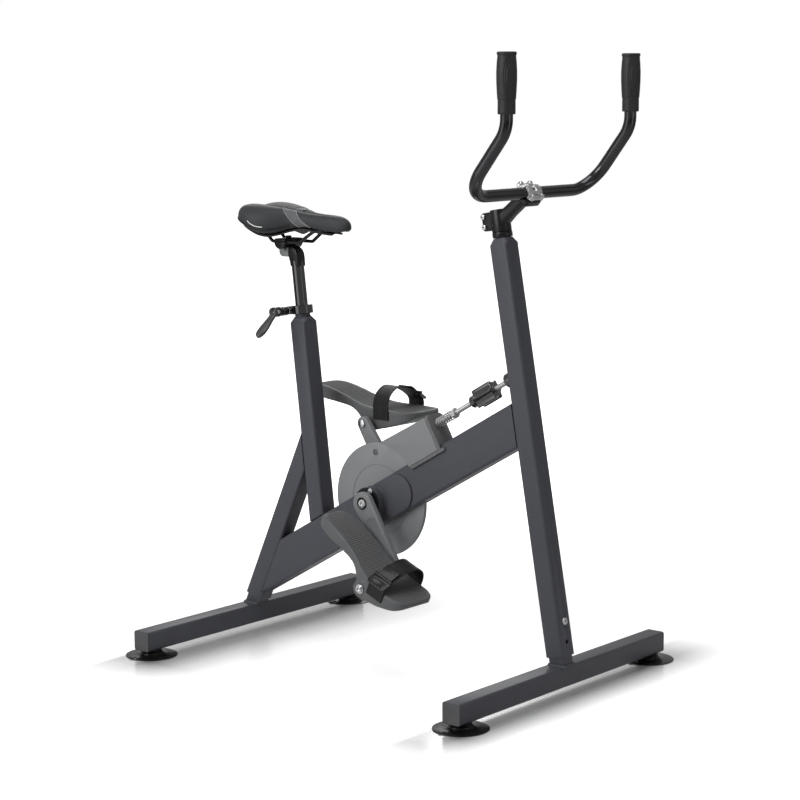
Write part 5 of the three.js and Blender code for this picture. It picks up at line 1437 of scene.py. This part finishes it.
def swelled(ob):
    """Puffs a closed cover out from inside, with its underside and its middle channel held."""
    changed(ob, "REMESH", mode="VOXEL", voxel_size=4.0)
    start = vertex_places(ob)
    down = np.array([v.normal.z for v in ob.data.vertices])
    held = (down < -0.35) | (near_middle(start) > 0.45)
    ob.data.transform(Matrix.Scale(MM, 4))
    group_of = ob.vertex_groups.new(name="held")
    group_of.add([int(i) for i in np.flatnonzero(held)], 1.0, "REPLACE")
    change = ob.modifiers.new("cover", "CLOTH")
    settings = {"quality": 6, "mass": 0.3, "tension_stiffness": 25, "compression_stiffness": 25,
                "bending_stiffness": 0.6, "use_pressure": True, "uniform_pressure_force": 4,
                "vertex_group_mass": "held"}
    for name, value in settings.items():
        setattr(change.settings, name, value)
    change.settings.effector_weights.gravity = 0
    change.point_cache.frame_start, change.point_cache.frame_end = 1, CLOTH_STEPS
    for step in range(1, CLOTH_STEPS + 1):
        scene.frame_set(step)
    settle(ob)
    scene.frame_set(1)
    ob.data.transform(Matrix.Scale(1 / MM, 4))
    moved_by = vertex_places(ob) - start
    far = np.linalg.norm(moved_by, axis=1, keepdims=True)
    write_places(ob, start + moved_by * (SWELL * np.tanh(far / SWELL) / np.maximum(far, 1e-6)))
    print("cushion swelled by up to", round(float(np.minimum(far, SWELL).max()), 2), "mm")
    return ob


def saddle_cushion():
    cushion = swelled(loft([cushion_ring(row, 2.2) for row in fine_rows(110)]))
    changed(cushion, "SMOOTH", factor=0.5, iterations=7)
    changed(cushion, "SUBSURF", levels=1)
    spots = vertex_places(cushion)
    upward = np.clip(np.array([v.normal.z for v in cushion.data.vertices]) * 2, 0, 1)
    spots[:, 2] -= 4.6 * near_middle(spots) * upward
    write_places(cushion, spots)
    return cushion


# %% [markdown]
# The cover is sewn from panels. A light band crosses each half from the channel to the lower edge,
# with piping along both of its seams, and a row of stitches runs beside the piping. The piping is
# laid on the swelled cushion by dropping its line onto the surface, and the stitches are grown
# along the same line by a node tree. A near-white cord along the right wing's curve is a painted
# highlight, standing for the light that the wing's edge catches.

# %% Seam lines, piping and stitches
MIDDLE_Z = 862
rear_seam = [(-285, 70), (-277, 49), (-268, 34), (-257, 20), (-247, 4), (-235, -17), (-231, -27)]
front_seam = [(-256, 70), (-249, 52), (-242, 38), (-231, 16), (-222, -2), (-211, -17), (-207, -27)]
cord_seam = [(-328, 1), (-320, -3.5), (-311, -6.8), (-303, -8.4), (-296, -9)]


def skin_of(cushion):
    return BVHTree.FromPolygons([v.co[:] for v in cushion.data.vertices],
                                [p.vertices[:] for p in cushion.data.polygons])


def laid_on(cushion, line, side, above, steps=60):
    """Lays a line of (place along, angle round the middle) on the cushion's surface."""
    tree = skin_of(cushion)
    found = []
    for x, angle in smooth_line(line, steps):
        a = math.radians(angle)
        way = Vector((0, side * math.cos(a), math.sin(a)))
        spot, normal, _, _ = tree.ray_cast(Vector((x, 0, MIDDLE_Z)) + way * 150, -way)
        if spot:
            found.append(tuple(spot + normal * above))
    return found


stitch_tree, given = node_tree(
    "stitches", {"Line": bpy.types.Object, "Pitch": float, "Stitch": bpy.types.Object,
                 "Finish": bpy.types.Material})
read = add(stitch_tree, "GeometryNodeObjectInfo", {"Object": given["Line"]})
curve = add(stitch_tree, "GeometryNodeMeshToCurve", {"Mesh": read["Geometry"]})
spaced = add(stitch_tree, "GeometryNodeResampleCurve", {"Curve": curve["Curve"], "Length": given["Pitch"]},
             mode="LENGTH")
one = add(stitch_tree, "GeometryNodeObjectInfo", {"Object": given["Stitch"]})
tangent = add(stitch_tree, "GeometryNodeInputTangent")
aim = add(stitch_tree, "FunctionNodeAlignRotationToVector", {"Vector": tangent["Tangent"]}, axis="X")
sewn = add(stitch_tree, "GeometryNodeInstanceOnPoints", {
    "Points": spaced["Curve"], "Instance": one["Geometry"], "Rotation": aim["Rotation"]})
finish_tree(stitch_tree, given, sewn["Instances"])


def stitch_row(points, pitch, finish):
    line = make(points, [], "stitch line", edges=[(k, k + 1) for k in range(len(points) - 1)])
    stitch = sweep([(-1.1, 0, -0.1), (-0.7, 0, 0.2), (0.7, 0, 0.2), (1.1, 0, -0.1)], 0.28, 8)
    row = grown(stitch_tree, line=line, pitch=pitch, stitch=stitch, finish=finish)
    for ob in (line, stitch):
        bpy.data.objects.remove(ob)
    return row


def panel_marks(cushion):
    """Marks the light band between the two seams on the mesh."""
    spots = vertex_places(cushion)
    round_by = np.degrees(np.arctan2(spots[:, 2] - MIDDLE_Z, np.abs(spots[:, 1])))
    back, fore = (np.interp(round_by, [a for _, a in seam[::-1]], [x for x, _ in seam[::-1]])
                  for seam in (rear_seam, front_seam))
    inside = np.clip(spots[:, 0] - back, 0, 1) * np.clip(fore - spots[:, 0], 0, 1)
    inside *= np.clip((np.abs(spots[:, 1]) - 7) / 1.5, 0, 1) * np.clip((round_by + 27) / 2, 0, 1)
    mark_vertices(cushion, "band", inside)


def cover_finish():
    material = finish("saddle_cover", (0.044, 0.046, 0.049), 0.5, grain=1400, bump=0.25, specular=0.22)
    tree, shader = shader_of(material)
    light = add(tree, "ShaderNodeAttribute", attribute_name="band")["Fac"]
    feed(tree, shader, {
        "Base Color": blend(tree, light, fed_by(shader, "Base Color"), (0.13, 0.132, 0.136, 1))})
    return material


saddle_cover = cover_finish()
piping_cord = finish("piping_cord", (0.26, 0.262, 0.266), 0.45, grain=1600, bump=0.2, specular=0.3)
# painted highlight: a near-white cord laid where the right wing's curved edge catches the light
reflecting_cord = finish("reflecting_cord", (0.86, 0.86, 0.86), 0.35, bump=0.05)
seam_thread = finish("seam_thread", (0.07, 0.072, 0.076), 0.6, grain=2200, bump=0.2, specular=0.2)
cushion = saddle_cushion()
panel_marks(cushion)
piping, rows = [], []
for side in (-1, 1):
    for line, beside in ((rear_seam, -2.8), (front_seam, 2.8)):
        piping.append(sweep(laid_on(cushion, line, side, 0.35), 0.9, 10))
        sewn_line = [(x + beside, angle) for x, angle in line]
        rows.append(stitch_row(laid_on(cushion, sewn_line, side, 0.05), 3.2, seam_thread))
cord = laid_on(cushion, cord_seam, -1, 0.5, 40)


def rim_cord():
    """The round edge trim that runs under the wings and round the back."""
    side = [(saddle_x(row[0]), 0.93 * row[1] * HALF_WIDTH, saddle_z(row[4]) + 0.6)
            for row in fine_rows(110) if 0.5 <= row[0] <= 0.995]
    line = [(x, -y, z) for x, y, z in side] + [(saddle_x(1) + 0.8, 0, saddle_z(0.5) + 0.6)] + side[::-1]
    tree = skin_of(cushion)
    laid = []
    for x, y, z in smooth_line(line, 110):
        away = Vector((x + 290, y, 0)).normalized() * 14
        spot, normal, _, _ = tree.find_nearest(Vector((x, y, z + 3.5)) + away)
        laid.append(spot + normal * 0.3)
    for _ in range(4):
        laid = [laid[0], *[(a + b * 2 + c) / 4 for a, b, c in zip(laid, laid[1:], laid[2:])], laid[-1]]
    return sweep(smooth_line(laid, 220), 2.0, 12)


trim = rim_cord()
place_node(cushion, "saddle_cushion", FLOOR, "saddle", "saddle_cover", saddle_cover, 60)
place(group(*piping), "saddle_piping", FLOOR, "saddle", "saddle_cover", piping_cord)
place(group(*rows), "saddle_stitches", FLOOR, "saddle", "saddle_cover", seam_thread)
place(trim, "saddle_edge_trim", FLOOR, "saddle", "saddle_shell", shell_plastic)
# the painted highlight along the right wing
place(sweep(cord, 0.9, 12), "saddle_reflecting_cord", FLOOR, "saddle", "saddle_cover", reflecting_cord)

# %% [markdown]
# ## Floor and backdrop
# The bike stands on a polished white studio floor. Close to the bike the floor mirrors the base
# tubes softly, and the mirror image fades, because the polish is a little rough. Seen by the
# camera the floor also glows, so that it melts into the white backdrop with no horizon, while the
# light that the bike keeps off it still shows as a pale shadow.

# %% Floor
def studio_white():
    material = bpy.data.materials.new("studio_floor")
    material.use_nodes = True
    tree, shader = shader_of(material)
    tree.nodes.remove(shader)
    spot = add(tree, "ShaderNodeTexCoord")["Object"]
    parts = add(tree, "ShaderNodeSeparateXYZ", {0: spot})
    bands = []
    for tube, reach in ((-0.396, 0.24), (0.396, 0.12)):
        before = ramp(tree, parts["X"], tube - 0.05, tube - 0.03)
        after = ramp(tree, parts["X"], tube + 0.03, tube + reach, 0.92, 0)
        bands.append(maths(tree, "MULTIPLY", before, after))
    beside = ramp(tree, maths(tree, "ABSOLUTE", parts["Y"]), 0.34, 0.5, 1, 0)
    share = maths(tree, "MULTIPLY", maths(tree, "MAXIMUM", *bands), beside)
    far = add(tree, "ShaderNodeVectorMath", {0: spot}, operation="LENGTH")["Value"]
    shown = add(tree, "ShaderNodeLightPath")["Is Camera Ray"]
    glow = maths(tree, "MULTIPLY", ramp(tree, far, 0.7, 1.6, 0.62, 1.3), shown)
    matt = add(tree, "ShaderNodeBsdfDiffuse", {"Color": (0.8, 0.8, 0.8, 1)})[0]
    white = add(tree, "ShaderNodeEmission", {"Strength": glow})[0]
    both = add(tree, "ShaderNodeAddShader", {0: matt, 1: white})[0]
    mirror = add(tree, "ShaderNodeBsdfGlossy", {"Color": (1, 1, 1, 1), "Roughness": 0.17})[0]
    mixed = add(tree, "ShaderNodeMixShader", {"Fac": share, 1: both, 2: mirror})[0]
    feed(tree, tree.nodes["Material Output"], {"Surface": mixed})
    return material


HALF_FLOOR = 9
corners = [(x * HALF_FLOOR, y * HALF_FLOOR, 0) for x, y in ((-1, -1), (1, -1), (1, 1), (-1, 1))]
floor = make(corners, [(0, 1, 2, 3)], "floor")
floor.data.materials.append(studio_white())

# %% [markdown]
# ## Light
# Five soft lamps: a large key lamp on the right that lights the near side, a tall strip in front,
# a low wide one on the right, one behind for the rims and one above. The world gives a plain low
# fill. The camera sees a white world, the backdrop of a product picture, and mirror-like surfaces
# see it dimmed, so that black gloss stays black between its highlights.

# %% Lamps and world
def lamp(name, at, aim, size, watts, tall=None):
    data = bpy.data.lights.new(name, "AREA")
    data.shape = "RECTANGLE"
    data.size = size
    data.size_y = tall or size
    data.energy = watts
    ob = bpy.data.objects.new(name, data)
    ob.location = at
    ob.rotation_euler = (Vector(aim) - Vector(at)).to_track_quat("-Z", "Y").to_euler()
    scene.collection.objects.link(ob)
    return ob


lamp("key_lamp", (-0.9, -3.2, 2.2), (0, 0, 0.5), 2.2, 65)
lamp("strip_lamp", (2.9, 0.1, 0.9), (0, 0.1, 0.9), 0.6, 5, 1.8)
lamp("low_lamp", (-1.2, -2.9, 0.5), (0, 0, 0.5), 2.2, 9, 1.0)
lamp("rim_lamp", (-2.4, 2.4, 2.4), (0, 0, 0.6), 2.0, 26)
lamp("top_lamp", (0.5, -0.4, 3.4), (0, 0, 0), 2.0, 38)

FILL, MIRRORED, BACKDROP = 0.14, 0.28, 1.0
world = bpy.data.worlds.new("studio")
scene.world = world
world.use_nodes = True
tree = world.node_tree
path = add(tree, "ShaderNodeLightPath")
seen = maths(tree, "MAXIMUM", path["Is Camera Ray"], maths(tree, "MULTIPLY", path["Is Glossy Ray"], MIRRORED))
strength = ramp(tree, seen, 0, 1, FILL, BACKDROP)
feed(tree, tree.nodes["Background"], {"Color": (1, 1, 1, 1), "Strength": strength})
print("lamps", len(bpy.data.lights))

# %% [markdown]
# ## Camera
# The photograph's camera stands to the right front and a little above the middle of the bike. Its
# place, its two angles, a roll of a fifth of a degree and its lens come from fitting the frame's
# straight edges to the picture.

# %% Camera
FOCAL_PIXELS, PICTURE_PIXELS, SENSOR = 2143.8, 800, 36
azimuth, pitch, roll = (math.radians(a) for a in (39.894, 8.43, -0.224))
look = Vector((-math.sin(azimuth) * math.cos(pitch), math.cos(azimuth) * math.cos(pitch), -math.sin(pitch)))
right = look.cross(Vector((0, 0, 1))).normalized()
up = right.cross(look)
right, up = right * math.cos(roll) + up * math.sin(roll), up * math.cos(roll) - right * math.sin(roll)
data = bpy.data.cameras.new("photo_camera")
data.sensor_width = SENSOR
data.lens = SENSOR * FOCAL_PIXELS / PICTURE_PIXELS
data.clip_end = 60
camera = bpy.data.objects.new("photo_camera", data)
turn = Matrix((right, up, -look)).transposed().to_4x4()
camera.matrix_world = Matrix.Translation((2.67957, -3.19692, 1.13788)) @ turn
scene.collection.objects.link(camera)
scene.camera = camera
scene.view_settings.view_transform = "Standard"
print("lens", round(data.lens, 2))
